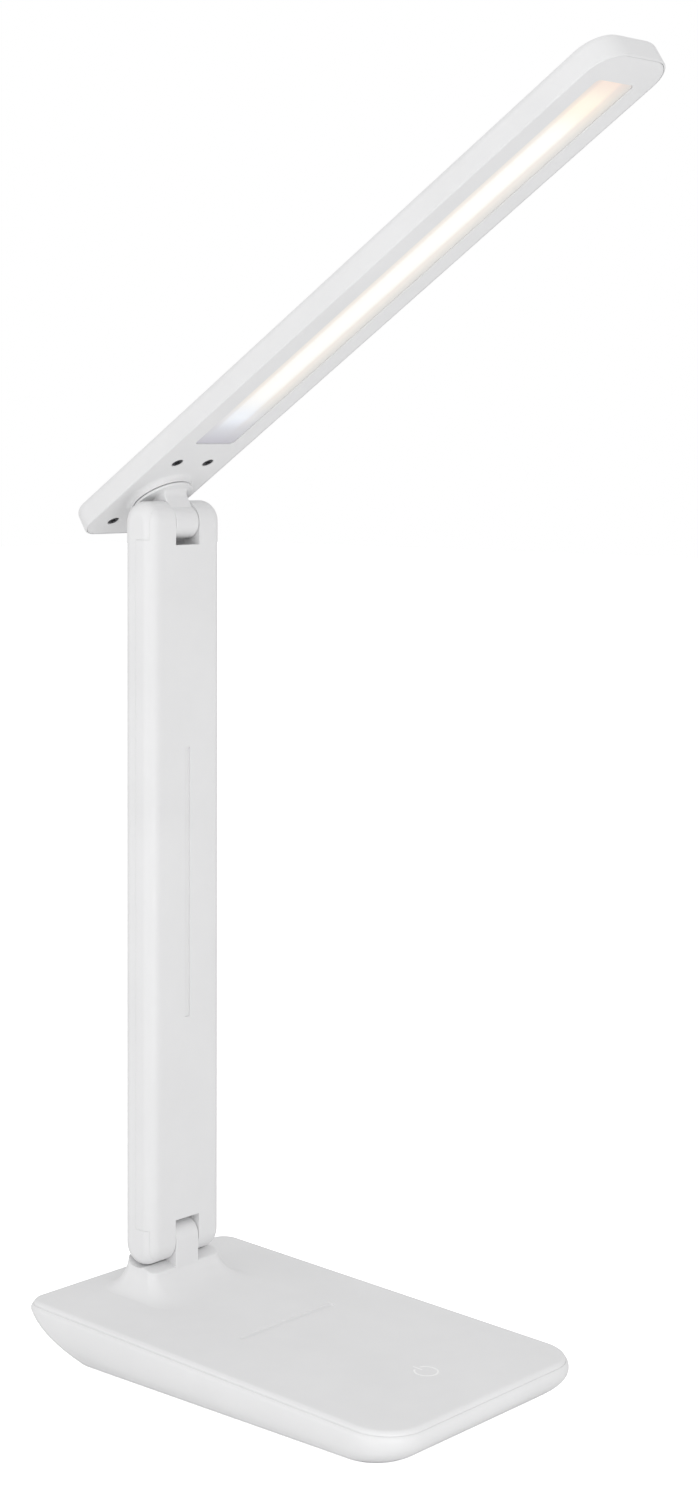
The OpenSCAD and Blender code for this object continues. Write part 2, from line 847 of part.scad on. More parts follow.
module neck() {
    disc_top = head_drop - turret_h - disc_gap;
    disc_foot = disc_top - neck_disc_t;
    stem_top = head_drop + panel_t + swivel_plate_t + swivel_washer_t + swivel_nut_t + stem_past_nut;
    color(shell_white) at_neck() difference() {
        union() {
            along_x(knuckle_w) {
                circle(knuckle_r);
                translate([-neck_front, 0]) square([neck_front + knuckle_r, disc_foot + eps]);
            }
            translate([0, swivel_set, disc_foot]) cylinder(r = neck_disc_r, h = neck_disc_t);
            translate([0, swivel_set, disc_top - eps]) cylinder(r = stem_r, h = stem_top - disc_top);
        }
        x_cylinder(pin_r + pin_play, -arm_w / 2, arm_w / 2);
        translate([0, swivel_set, knuckle_r - 1]) cylinder(r = stem_bore_r, h = far / 2);
        translate([0, riser_y, -knuckle_r]) cylinder(r = riser_r + riser_play, h = 2 * knuckle_r);
    }
}

module head_outline(inset) {
    translate([0, (head_back - head_front) / 2])
        rounded(head_w - 2 * inset, head_front + head_back - 2 * inset, tip_r - inset, back_r - inset);
}

module at_head_screws() {
    for (x = [-head_screw_x, head_screw_x]) {
        for (y = [-head_screw_front, head_screw_back]) translate([x, y, 0]) children();
    }
}

module head_shell() {
    roof_z = head_t - head_top_t;
    color(shell_white) at_underside() difference() {
        union() {
            difference() {
                hull() {
                    linear_extrude(head_t - head_edge) head_outline(0, $fn = hull_fn);
                    linear_extrude(head_t - head_edge / 3) head_outline(head_edge / 4, $fn = hull_fn);
                    linear_extrude(head_t) head_outline(head_edge, $fn = hull_fn);
                }
                translate([0, 0, -eps]) linear_extrude(panel_t + gap) head_outline(panel_in);
                linear_extrude(roof_z) head_outline(head_wall);
            }
            at_head_screws() translate([0, 0, panel_t + swivel_plate_t])
                cylinder(r = head_post_r, h = roof_z - panel_t - swivel_plate_t + eps);
        }
        at_head_screws() translate([0, 0, head_screw_seat])
            cylinder(r = head_screw_r, h = head_screw_len + eps);
    }
}

module head_panel() {
    color(shell_white) at_underside() difference() {
        union() {
            linear_extrude(panel_t) head_outline(panel_in + panel_gap);
            turret();
        }
        translate([0, 0, -far / 2]) cylinder(r = stem_r + stem_play, h = far);
        at_head_screws() {
            translate([0, 0, -eps]) cylinder(r = head_screw_hole_r, h = head_screw_seat + eps);
            cylinder(r = head_screw_r + screw_clear, h = far / 2);
        }
        translate([0, 0, -eps]) linear_extrude(far / 2) window_outline(0);
    }
}

// The turret narrows from its root to its face along a hollow quarter round
module turret() {
    flare = turret_root_r - turret_r;
    profile = [for (i = [0:turret_steps])
        let (a = 90 * i / turret_steps)
        [turret_r + flare * (1 - cos(a)), -turret_h * (1 - sin(a))]];
    rotate_extrude() polygon(concat([[0, -turret_h]], profile, [[turret_root_r, 1], [0, 1]]));
}

module window_outline(lap) {
    translate([0, -window_front - window_len / 2])
        rounded(window_w + 2 * lap, window_len + 2 * lap, window_r, window_r);
}

module swivel_plate() {
    color(steel) at_underside(panel_t) difference() {
        linear_extrude(swivel_plate_t) rounded(swivel_plate_w, swivel_plate_l, 2, 2);
        translate([0, 0, -1]) cylinder(r = stem_r + stem_play, h = far / 2);
        at_head_screws() translate([0, 0, -1]) cylinder(r = head_screw_r + screw_clear, h = far / 2);
    }
}

module swivel_washer() {
    color(steel) at_underside(panel_t + swivel_plate_t) difference() {
        cylinder(r = swivel_washer_r, h = swivel_washer_t);
        translate([0, 0, -1]) cylinder(r = stem_r, h = far / 2);
    }
}

module swivel_nut() {
    color(steel) at_underside(panel_t + swivel_plate_t + swivel_washer_t) difference() {
        cylinder(r = swivel_nut_af / sqrt(3), h = swivel_nut_t, $fn = 6);
        translate([0, 0, -1]) cylinder(r = stem_r, h = far / 2);
    }
}

module head_screws() {
    color(steel) at_underside(head_screw_seat) at_head_screws()
        screw(head_screw_head_r, head_screw_head_t, head_screw_r, head_screw_len);
}

module diffuser() {
    color(white_soft) at_underside() {
        translate([0, 0, panel_t]) linear_extrude(diffuser_t) window_outline(diffuser_lap);
        translate([0, 0, diffuser_sunk]) linear_extrude(panel_t - diffuser_sunk + eps)
            window_outline(-gap);
    }
}

module led_rail(from_z, height, w) {
    translate([-w / 2, -window_front - window_len, from_z]) cube([w, window_len, height]);
}

module reflector() {
    foot = panel_t + diffuser_t;
    color(white_soft) at_underside() difference() {
        led_rail(foot, led_board_z - foot, window_w);
        translate([0, 0, foot - 1]) linear_extrude(far / 2) window_outline(-reflector_t);
    }
}

module led_board() {
    color(white_soft) at_underside() led_rail(led_board_z, led_board_t, window_w - 4);
}

module leds() {
    pitch = window_len / led_count;
    color("#F7E7B0") at_underside(led_board_z - led_h) for (i = [0:led_count - 1]) {
        translate([0, -window_front - pitch * (i + 0.5), led_h / 2])
            cube([led_w, led_l, led_h], center = true);
    }
}

// The lead leaves the hollow stem and lies flat under the roof as far as the LED board
module head_lead() {
    z = head_t - head_top_t - head_lead_r - 0.05;
    points = [[0, 0, -head_drop / 3], [0, 0, z - head_lead_bend],
        [0, -0.3 * head_lead_bend, z - 0.3 * head_lead_bend], [0, -head_lead_bend, z],
        [0, -window_front / 2, z], [0, 0.4 - window_front, z]];
    color(lead_grey) at_underside() swept(points, head_lead_r, 8, [1, 0, 0]);
}

base_cover();
base_tray();
ballast_plate();
foot_pad();
base_screws();
ballast_screws();
power_icon();
control_board();
touch_spring();
socket_board();
power_socket();
supply_lead();
riser_lead();
arm_channel();
arm_cover();
arm_screws();
arm_lead();
lower_bracket();
lower_pin();
lower_nut();
lower_spring_washers();
lower_friction_discs();
upper_bracket();
upper_pin();
upper_nut();
upper_spring_washers();
upper_friction_discs();
neck();
head_shell();
head_panel();
swivel_plate();
swivel_washer();
swivel_nut();
head_screws();
diffuser();
reflector();
led_board();
leds();
head_lead();
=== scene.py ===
# %% [markdown]
# # A folding desk lamp, dressed in Blender
# The lamp's engineering model is already packed: its solids, its bodies and its joints are fixed.
# This lesson loads it as the frame, builds the shells that the eye sees round it, one piece after
# the other, gives every surface a finish, and lights the lamp on a plain pale floor.
# Lengths are given in millimetres, because a lamp is drawn in them, and turned into metres once.

import json
import math

import bmesh
import bpy
from mathutils import Euler, Matrix, Vector

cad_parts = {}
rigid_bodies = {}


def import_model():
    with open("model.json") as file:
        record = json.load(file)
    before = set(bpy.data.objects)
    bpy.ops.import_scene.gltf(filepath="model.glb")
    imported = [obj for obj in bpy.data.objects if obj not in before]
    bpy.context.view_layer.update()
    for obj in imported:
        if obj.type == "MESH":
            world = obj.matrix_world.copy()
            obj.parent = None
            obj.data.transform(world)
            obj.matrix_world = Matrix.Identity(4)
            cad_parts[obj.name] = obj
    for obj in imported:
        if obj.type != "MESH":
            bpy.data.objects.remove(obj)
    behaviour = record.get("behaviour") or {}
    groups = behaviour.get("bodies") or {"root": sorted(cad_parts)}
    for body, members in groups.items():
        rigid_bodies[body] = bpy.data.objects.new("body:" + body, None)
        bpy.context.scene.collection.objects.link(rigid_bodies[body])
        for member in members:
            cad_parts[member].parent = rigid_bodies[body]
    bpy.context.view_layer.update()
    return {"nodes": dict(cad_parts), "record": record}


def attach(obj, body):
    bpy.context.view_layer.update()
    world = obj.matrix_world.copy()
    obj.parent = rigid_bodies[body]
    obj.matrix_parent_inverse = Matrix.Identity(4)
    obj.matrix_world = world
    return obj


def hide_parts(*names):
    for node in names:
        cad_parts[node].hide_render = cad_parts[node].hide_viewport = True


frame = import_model()
MM = 0.001

# %% [markdown]
# ## The camera
# The picture was taken from the lamp's left and front, a little above the middle of the arm, with
# a long lens. A camera can be aimed by eye, but here its place and its lens were fitted together
# with the lamp's sizes, until corners and edges fell where the picture has them. The frame of the
# picture reaches further down than up from the lens's axis, which the camera's shift allows for.

# %% Camera
PHOTO_WIDTH, PHOTO_HEIGHT = 698, 1500
FOCAL_PIXELS = 2515.4
AXIS_COLUMN, AXIS_ROW = 347.8, 528.1
LENS_PLACE = (-669.6, -609.0, 335.2)
LOOKS_DOWN, LEANS, TURNED = 1.75, -0.15, -48.79
SENSOR = 36.0

camera_data = bpy.data.cameras.new("camera")
camera_data.sensor_width = SENSOR
camera_data.lens = FOCAL_PIXELS / PHOTO_HEIGHT * SENSOR
camera_data.shift_x = (PHOTO_WIDTH / 2 - AXIS_COLUMN) / PHOTO_HEIGHT
camera_data.shift_y = (AXIS_ROW - PHOTO_HEIGHT / 2) / PHOTO_HEIGHT
camera_data.clip_start = 0.01
camera = bpy.data.objects.new("camera", camera_data)
bpy.context.scene.collection.objects.link(camera)
camera.location = Vector(LENS_PLACE) * MM
camera.rotation_euler = Euler([math.radians(turn) for turn in (90 - LOOKS_DOWN, LEANS, TURNED)])
bpy.context.scene.camera = camera
print("lens", round(camera_data.lens, 2), "mm, shift", round(camera_data.shift_y, 3))

# %% [markdown]
# ## A small tool bench
# Every piece below is modelled the way it would be by hand: a primitive is added at its size,
# edges or faces are selected, and an operator shapes them. Operators act on whatever is selected,
# so these helpers first clear the selection and then select parts by their place or direction.

# %% Selecting and shaping
def leave_edit():
    """Back to object mode with nothing selected, ready for the next primitive."""
    if bpy.context.mode != "OBJECT":
        bpy.ops.object.mode_set(mode="OBJECT")
    bpy.ops.object.select_all(action="DESELECT")


def only(piece):
    """Makes the piece the one selected and active object."""
    leave_edit()
    piece.select_set(True)
    bpy.context.view_layer.objects.active = piece


def edit(piece):
    """Opens the piece for editing with nothing selected."""
    only(piece)
    bpy.ops.object.mode_set(mode="EDIT")
    bpy.ops.mesh.select_all(action="DESELECT")


def pick(piece, kind, test):
    """In edit mode, selects the VERT, EDGE or FACE parts that pass the test, and counts them."""
    bpy.ops.mesh.select_mode(type=kind)
    bpy.ops.mesh.select_all(action="DESELECT")
    mesh = bmesh.from_edit_mesh(piece.data)
    parts = {"VERT": mesh.verts, "EDGE": mesh.edges, "FACE": mesh.faces}[kind]
    found = [part for part in parts if test(part)]
    for part in found:
        part.select_set(True)
    mesh.select_flush_mode()
    bmesh.update_edit_mesh(piece.data)
    return len(found)

# %% Places, and closing a piece
def near(value, target, within=0.01):
    """True where a coordinate in metres is at a place given in millimetres."""
    return abs(value / MM - target) < within


def ends(edge, axis, target, within=0.01):
    """True where both ends of an edge are at that place along the axis."""
    return all(near(corner.co[axis], target, within) for corner in edge.verts)


def close_mesh(piece):
    """Merges doubled points, turns all faces outward and goes back to object mode."""
    bpy.ops.mesh.select_all(action="SELECT")
    bpy.ops.mesh.remove_doubles(threshold=0.002 * MM)
    bpy.ops.mesh.normals_make_consistent(inside=False)
    bpy.ops.object.mode_set(mode="OBJECT")
    return piece

# %% Modifiers, cutting and placing
def apply_modifier(piece, kind, **settings):
    only(piece)
    bpy.ops.object.modifier_add(type=kind)
    modifier = piece.modifiers[-1]
    for name, value in settings.items():
        setattr(modifier, name, value)
    bpy.ops.object.modifier_apply(modifier=modifier.name)


def combine(piece, tool, how):
    """Adds or takes away a tool body, which is used up."""
    apply_modifier(piece, "BOOLEAN", operation=how, object=tool, solver="EXACT")
    bpy.data.objects.remove(tool)


def place(piece, matrix):
    """Moves the piece's mesh, so that its object stays at the origin."""
    only(piece)
    piece.matrix_world = matrix
    bpy.ops.object.transform_apply(location=True, rotation=True, scale=True)
    return piece


def soften(piece, width, angle=35, segments=3):
    """Rounds every edge that is sharper than the angle."""
    apply_modifier(piece, "BEVEL", width=width * MM, segments=segments, limit_method="ANGLE",
                   angle_limit=math.radians(angle), use_clamp_overlap=True, miter_outer="MITER_ARC")


def smooth(piece, angle=30):
    """Shades the piece smooth, but keeps edges sharper than the angle crisp."""
    only(piece)
    bpy.ops.object.shade_smooth_by_angle(angle=math.radians(angle))
    apply_modifier(piece, "WEIGHTED_NORMAL", keep_sharp=True, weight=60)

# %% Starting shapes
def block(name, low, high):
    """A box between two corners, in millimetres."""
    leave_edit()
    low, high = Vector(low) * MM, Vector(high) * MM
    bpy.ops.mesh.primitive_cube_add(size=1, location=(low + high) / 2)
    piece = bpy.context.object
    piece.name = name
    piece.scale = high - low
    bpy.ops.object.transform_apply(location=True, rotation=True, scale=True)
    return piece


def round_bar(name, radius, start, end, points=96):
    """A cylinder between two places, in millimetres."""
    leave_edit()
    start, end = Vector(start) * MM, Vector(end) * MM
    along = end - start
    bpy.ops.mesh.primitive_cylinder_add(vertices=points, radius=radius * MM, depth=along.length,
                                        location=(start + end) / 2,
                                        rotation=along.to_track_quat("Z", "Y").to_euler())
    piece = bpy.context.object
    piece.name = name
    bpy.ops.object.transform_apply(location=True, rotation=True, scale=True)
    return piece


def rounded_plate(name, width, length, front_r, rear_r, level=0.0, middle=0.0, segments=14):
    """A flat face with rounded corners, in millimetres. The front is at -Y."""
    leave_edit()
    bpy.ops.mesh.primitive_plane_add(size=1, location=(0, middle * MM, level * MM))
    piece = bpy.context.object
    piece.name = name
    piece.scale = (width * MM, length * MM, 1)
    bpy.ops.object.transform_apply(location=True, rotation=True, scale=True)
    edit(piece)
    front, rear = middle - length / 2, middle + length / 2
    pick(piece, "VERT", lambda v: near(v.co.y, front))
    bpy.ops.mesh.bevel(offset=front_r * MM, segments=segments, affect="VERTICES")
    pick(piece, "VERT", lambda v: near(v.co.y, rear))
    bpy.ops.mesh.bevel(offset=rear_r * MM, segments=segments, affect="VERTICES")
    bpy.ops.object.mode_set(mode="OBJECT")
    return piece

# %% Extruding, insetting and lofting
def extrude(*move):
    """Extrudes the selected faces or edges by a move in millimetres."""
    bpy.ops.mesh.extrude_region_move(
        TRANSFORM_OT_translate={"value": [MM * part for part in move]})


def inset(thickness, depth=0.0):
    bpy.ops.mesh.inset(thickness=thickness * MM, depth=depth * MM, use_even_offset=True)


def inset_round(reach, height, steps):
    """Rounds the rim of the selected face with a quarter of an ellipse, ring by ring."""
    for step in range(steps):
        now, after = (math.radians(90 * k / steps) for k in (step, step + 1))
        inset(reach * (math.cos(now) - math.cos(after)), height * (math.sin(after) - math.sin(now)))


def loft(name, rings):
    """Bridges outlines that have the same number of corners, in their order."""
    count = len(rings[0].data.vertices)
    only(rings[0])
    for ring in rings[1:]:
        ring.select_set(True)
    bpy.ops.object.join()
    piece = bpy.context.object
    piece.name = name
    edit(piece)
    bpy.ops.mesh.select_mode(type="FACE")
    bpy.ops.mesh.select_all(action="SELECT")
    bpy.ops.mesh.delete(type="ONLY_FACE")
    for level in range(len(rings) - 1):
        low, high = level * count, (level + 2) * count
        pick(piece, "EDGE", lambda e: all(low <= v.index < high for v in e.verts)
             and len(e.link_faces) < 2)
        bpy.ops.mesh.bridge_edge_loops()
    return piece

# %% [markdown]
# ## Finishes
# The shells are white moulded plastic with a satin skin: a very fine grain left by the mould, a
# slow change of tone over the surface and a gloss that isn't quite even. All of it comes from
# noise on Object coordinates, so it stays with the piece and has its real size. Steel, rubber and
# the boards are made the same way with other scales, so one function builds them all.

# %% A finish from noise
def finish(name, colour, roughness, grain=0.08, grain_size=0.35, tone=0.03, gloss=0.06,
           metallic=0.0, streak=None, **shader_values):
    """A surface with fine grain, slow changes of tone and uneven gloss. Sizes in millimetres."""
    material = bpy.data.materials.new(name)
    material.use_nodes = True
    nodes, links = material.node_tree.nodes, material.node_tree.links
    shader = nodes["Principled BSDF"]
    place_in = nodes.new("ShaderNodeTexCoord")
    mapping = nodes.new("ShaderNodeMapping")
    mapping.inputs["Scale"].default_value = streak or (1, 1, 1)
    links.new(place_in.outputs["Object"], mapping.inputs["Vector"])

    def noise(size, detail):
        node = nodes.new("ShaderNodeTexNoise")
        node.inputs["Scale"].default_value = 1 / (size * MM)
        node.inputs["Detail"].default_value = detail
        links.new(mapping.outputs["Vector"], node.inputs["Vector"])
        return node.outputs["Fac"]

    def spread(source, low, high):
        node = nodes.new("ShaderNodeMapRange")
        node.inputs["From Min"].default_value, node.inputs["From Max"].default_value = 0.3, 0.7
        node.inputs["To Min"].default_value, node.inputs["To Max"].default_value = low, high
        links.new(source, node.inputs["Value"])
        return node.outputs["Result"]

    def shade(share):
        return [*(part * share for part in colour), 1]

    mix = nodes.new("ShaderNodeMix")
    mix.data_type = "RGBA"
    mix.inputs["A"].default_value = shade(1 - tone)
    mix.inputs["B"].default_value = shade(1)
    links.new(spread(noise(26, 3), 0, 1), mix.inputs["Factor"])
    links.new(mix.outputs["Result"], shader.inputs["Base Color"])
    links.new(spread(noise(9, 4), roughness - gloss, roughness + gloss), shader.inputs["Roughness"])
    bump = nodes.new("ShaderNodeBump")
    bump.inputs["Strength"].default_value = grain
    bump.inputs["Distance"].default_value = 0.05 * MM
    links.new(noise(grain_size, 2), bump.inputs["Height"])
    links.new(bump.outputs["Normal"], shader.inputs["Normal"])
    shader.inputs["Metallic"].default_value = metallic
    for socket, value in shader_values.items():
        shader.inputs[socket.replace("_", " ")].default_value = value
    return material


finishes = {
    "white_shell": finish("satin_white_shell", (0.80, 0.80, 0.805), 0.42),
    "zinc_steel": finish("zinc_plated_steel", (0.46, 0.47, 0.49), 0.34, grain=0.15, metallic=1.0),
    "black_steel": finish("blackened_screw_steel", (0.035, 0.035, 0.04), 0.5, grain=0.2,
                          metallic=0.6),
    "pad_rubber": finish("grey_foot_rubber", (0.045, 0.045, 0.05), 0.8, grain=0.5, grain_size=0.5),
    "mark_white": finish("white_mark_ink", (0.97, 0.97, 0.97), 0.3, grain=0.02),
    "circuit_board": finish("green_circuit_board", (0.03, 0.16, 0.07), 0.45, grain=0.2),
    "spring_bronze": finish("bronze_spring_wire", (0.55, 0.30, 0.14), 0.3, metallic=1.0),
    "lead_sheath": finish("grey_lead_sheath", (0.62, 0.62, 0.60), 0.5, grain=0.1),
    "friction_nylon": finish("black_nylon", (0.03, 0.03, 0.032), 0.5, grain=0.2),
    "reflector_white": finish("bright_reflector", (0.9, 0.9, 0.9), 0.3, grain=0.05),
    "led_board_metal": finish("white_led_board", (0.82, 0.82, 0.82), 0.4, grain=0.1),
}
print("finishes:", ", ".join(sorted(finishes)))

# %% Putting a finish and a body on a piece
def dress(piece, body, slot, *stands_for):
    """Gives a finished piece its material, its body and the CAD nodes that it stands for."""
    piece.data.materials.clear()
    piece.data.materials.append(finishes[slot])
    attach(piece, body)
    if stands_for:
        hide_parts(*stands_for)
    low, high = (Vector(f(v.co[i] for v in piece.data.vertices) for i in range(3))
                 for f in (min, max))
    print(piece.name, "has", len(piece.data.polygons), "faces and measures",
          [round(x / MM, 1) for x in high - low], "mm")

# %% [markdown]
# ## The arm
# The arm is a flat tube of two shells, a deep channel at the rear and a thin cover in front. Its
# ends are full rounds and its long edges are soft. One body is shaped first: a block whose four
# end edges are rounded until they meet, and whose outline on both sides is then rounded too. It
# is cut in two where the shells meet, so both halves have exactly the same skin.

# %% The arm's body
AXIS_Y, LOWER_AXIS_Z, HINGE_SPAN = 63.0, 37.6, 270.8
ARM_SET, ARM_WIDTH, ARM_THICK, ARM_EDGE_R = 2.0, 38.0, 16.0, 5.0
ARM_R = ARM_THICK / 2
ARM_Y = AXIS_Y + ARM_SET
UPPER_AXIS_Z = LOWER_AXIS_Z + HINGE_SPAN


def arm_solid(name, less=0.0):
    """The arm's outer form, or a smaller one inside it."""
    half_w, r, edge_r = ARM_WIDTH / 2 - less, ARM_R - less, ARM_EDGE_R - less
    piece = block(name, (-half_w, ARM_Y - r, LOWER_AXIS_Z - r),
                  (half_w, ARM_Y + r, UPPER_AXIS_Z + r))
    edit(piece)
    pick(piece, "EDGE", lambda e: near(abs(e.verts[0].co.x - e.verts[1].co.x), 2 * half_w))
    bpy.ops.mesh.bevel(offset=(r - 0.0005) * MM, segments=16, affect="EDGES")
    close_mesh(piece)
    edit(piece)
    pick(piece, "EDGE", lambda e: ends(e, 0, -half_w) or ends(e, 0, half_w))
    bpy.ops.mesh.bevel(offset=edge_r * MM, segments=9, affect="EDGES")
    return close_mesh(piece)


arm = arm_solid("arm")
print("arm body:", len(arm.data.polygons), "faces")

# %% [markdown]
# Both ends have a slot for a knuckle. The slots are open to the front and at the ends, and closed
# at the rear, apart from the top one, through which the neck tips back. The space behind the
# front cover is hollow, and from the top slot one looks into it. So the inside is cut out first,
# then the slots, and last a narrower opening from the top slot into the hollow.

# %% The hollow and the slots
SLOT_W, LOWER_SLOT_H, UPPER_SLOT_H, SLOT_REAR = 12.4, 8.2, 8.4, 6.5
WALL, SLOT_WALL, FLOOR_LEDGE, FAR = 2.0, 1.5, 0.4, 20.0
half_slot = SLOT_W / 2
slot_floor_z = UPPER_AXIS_Z - UPPER_SLOT_H

hollow = arm_solid("hollow", WALL)
for name, low, high in (
    ("lower_slot_walls", LOWER_AXIS_Z - FAR, LOWER_AXIS_Z + LOWER_SLOT_H + SLOT_WALL),
    ("upper_slot_walls", slot_floor_z - SLOT_WALL, UPPER_AXIS_Z + FAR),
):
    walls = block(name, (-half_slot - SLOT_WALL, ARM_Y - FAR, low),
                  (half_slot + SLOT_WALL, ARM_Y + FAR, high))
    combine(hollow, walls, "DIFFERENCE")
combine(arm, hollow, "DIFFERENCE")
for name, low, high in (
    ("lower_slot", (-half_slot, AXIS_Y - FAR, LOWER_AXIS_Z - FAR),
     (half_slot, AXIS_Y + SLOT_REAR, LOWER_AXIS_Z + LOWER_SLOT_H)),
    ("upper_slot", (-half_slot, AXIS_Y - FAR, slot_floor_z),
     (half_slot, AXIS_Y + SLOT_REAR, UPPER_AXIS_Z + FAR)),
    ("upper_slot_rear", (-half_slot + 0.01, AXIS_Y, UPPER_AXIS_Z - SLOT_REAR),
     (half_slot - 0.01, AXIS_Y + FAR, UPPER_AXIS_Z + FAR + 1)),
    ("slot_floor", (FLOOR_LEDGE - half_slot, ARM_Y - ARM_R + WALL + 0.3, slot_floor_z - 4),
     (half_slot - FLOOR_LEDGE, AXIS_Y + SLOT_REAR - 2 * FLOOR_LEDGE, slot_floor_z + 1)),
):
    combine(arm, block(name, low, high), "DIFFERENCE")
soften(arm, 0.25, angle=60, segments=2)

# %% [markdown]
# The two shells meet at the middle of the arm's thickness, but beside the hinges the rear shell
# reaches almost to the front face, because it carries the pins. The front shell is therefore what
# two boxes have in common with the arm: a thin one over the whole height and a deep one between
# the hinges. The rear shell is the arm without slightly larger boxes, which leaves the fine seam.

# %% The two shells
SEAM_Y, SEAM_JOG, SEAM_GAP = 0.3, 6.3, 0.06


def front_space(name, gap):
    """The space that the front shell takes up; the gap widens it."""
    space = block(name, (-30, ARM_Y - 30, LOWER_AXIS_Z - 20),
                  (30, ARM_Y - ARM_R + WALL + gap, UPPER_AXIS_Z + 20))
    between = block("between", (-31, ARM_Y - 31, LOWER_AXIS_Z + SEAM_JOG - gap),
                    (31, ARM_Y + SEAM_Y + gap, UPPER_AXIS_Z - SEAM_JOG + gap))
    combine(space, between, "UNION")
    return space


def twin(piece, name):
    """A copy of a piece with a mesh of its own."""
    copy = piece.copy()
    copy.data = piece.data.copy()
    copy.name = name
    bpy.context.scene.collection.objects.link(copy)
    return copy


arm_cover = twin(arm, "arm_front_cover")
arm_channel = twin(arm, "arm_rear_channel")
combine(arm_cover, front_space("front", 0), "INTERSECT")
combine(arm_channel, front_space("rear", SEAM_GAP), "DIFFERENCE")
bpy.data.objects.remove(arm)
print("front cover", len(arm_cover.data.polygons), "rear channel", len(arm_channel.data.polygons))

# %% [markdown]
# A long line is sunk into the middle of the front cover. It is half a millimetre deep and catches
# the light along one edge. A slim block cuts it, and every cut edge is then
# softened a little, because moulded plastic never has a knife edge.

# %% The sunk line and soft edges
LINE_W, LINE_LEN, LINE_DEPTH = 2.4, 102.0, 0.5
middle_z = (LOWER_AXIS_Z + UPPER_AXIS_Z) / 2
combine(arm_cover, block("line", (-LINE_W / 2, ARM_Y - ARM_R - 5, middle_z - LINE_LEN / 2),
                         (LINE_W / 2, ARM_Y - ARM_R + LINE_DEPTH, middle_z + LINE_LEN / 2)),
        "DIFFERENCE")
for shell in (arm_cover, arm_channel):
    soften(shell, 0.1, angle=60, segments=2)
    smooth(shell, 40)
dress(arm_cover, "arm", "white_shell", "arm_cover")
dress(arm_channel, "arm", "white_shell", "arm_channel")

# %% [markdown]
# ## The base cover
# The top face of the base is a plane that drops toward the user. From it a saddle rises to the
# width of the arm, in one hollow sweep, and carries the tongue of the lower hinge. The face is
# drawn level first and tipped at the end: a rounded outline is inset ring by ring for its soft
# rim and closed below with a narrower step that sits inside the tray. The saddle is lofted from
# outlines that grow as they come down, and its last ones dip a hair below the face, so that the
# union of both bodies leaves no step.

# %% The rim of the cover
BASE_W, BASE_LEN, BASE_MID_H = 108.0, 180.0, 17.7
FRONT_R, REAR_R = 16.5, 8.5
BASE_TILT = math.atan((21.0 - 14.4) / BASE_LEN)
SEAM_DROP, COVER_IN, RIM_R = 1.5, 1.0, 2.0
STEP_IN, STEP_H = 1.2, 0.9
on_top = Matrix.Translation((0, 0, BASE_MID_H * MM)) @ Matrix.Rotation(BASE_TILT, 4, "X")

cover = rounded_plate("base_top_cover", BASE_W - 2 * COVER_IN, BASE_LEN - 2 * COVER_IN,
                      FRONT_R - COVER_IN, REAR_R - COVER_IN, level=-SEAM_DROP)
edit(cover)
pick(cover, "FACE", lambda f: True)
inset_round(RIM_R, SEAM_DROP, 8)
pick(cover, "EDGE", lambda e: len(e.link_faces) == 1)
bpy.ops.mesh.extrude_region_move()
bpy.ops.transform.resize(value=(1 - 2 * STEP_IN / BASE_W, 1 - 2 * STEP_IN / BASE_LEN, 1),
                         center_override=(0, 0, 0))
extrude(0, 0, -STEP_H)
bpy.ops.mesh.edge_face_add()
close_mesh(cover)

# %% The saddle's hollow sweep
SADDLE_LIP_Z, SADDLE_RISE = 27.9, math.radians(17)
SADDLE_W, SADDLE_D, SADDLE_R = 37.0, 15.6, 3.5
SADDLE_Y = AXIS_Y + 1.7
FLARE_SIDE, FLARE_FRONT, FLARE_REAR = 8.0, 18.0, 9.0
SADDLE_STEPS, SADDLE_SUNK, SADDLE_ROOT, LIP_SOFT, SEAT_PLAY = 16, 0.02, 1.0, 0.8, 0.4
lip_h = SADDLE_LIP_Z - BASE_MID_H - (SADDLE_Y - SADDLE_D / 2) * math.tan(BASE_TILT)
saddle_h = lip_h + SADDLE_D / 2 * math.tan(SADDLE_RISE - BASE_TILT)


def saddle_outline(step, lower=SADDLE_SUNK):
    """One outline of the sweep: step 0 is the sloping seat, and the last lies at the face."""
    turn = math.radians(90 * step / SADDLE_STEPS)
    out, up = 1 - math.cos(turn), 1 - math.sin(turn)
    corner_r = SADDLE_R + FLARE_SIDE * out
    ring = rounded_plate("outline", SADDLE_W + 2 * FLARE_SIDE * out,
                         SADDLE_D + (FLARE_FRONT + FLARE_REAR) * out, corner_r, corner_r)
    middle_y = SADDLE_Y + (FLARE_REAR - FLARE_FRONT) / 2 * out
    middle = Vector((0, middle_y, saddle_h * up - lower)) * MM
    slope = math.atan(math.tan(SADDLE_RISE - BASE_TILT) * up)
    return place(ring, Matrix.Translation(middle) @ Matrix.Rotation(slope, 4, "X"))


saddle = loft("saddle", [saddle_outline(step) for step in range(SADDLE_STEPS + 1)]
              + [saddle_outline(SADDLE_STEPS, lower=SADDLE_ROOT)])
for above in (True, False):
    pick(saddle, "EDGE", lambda e: len(e.link_faces) == 1 and (e.verts[0].co.z > 0) == above)
    bpy.ops.mesh.edge_face_add()
close_mesh(saddle)
soften(saddle, LIP_SOFT, angle=50, segments=4)
print("the seat lies", round(saddle_h, 2), "mm over the face")

# %% Join the two, tip them and hollow the seat for the arm's round end
combine(cover, saddle, "UNION")
place(cover, on_top)
seat = Vector((0, ARM_Y, LOWER_AXIS_Z))
across = Vector((30, 0, 0))
combine(cover, round_bar("dish", ARM_R + SEAT_PLAY, seat - across, seat + across), "DIFFERENCE")
print("cover:", len(cover.data.polygons), "faces")

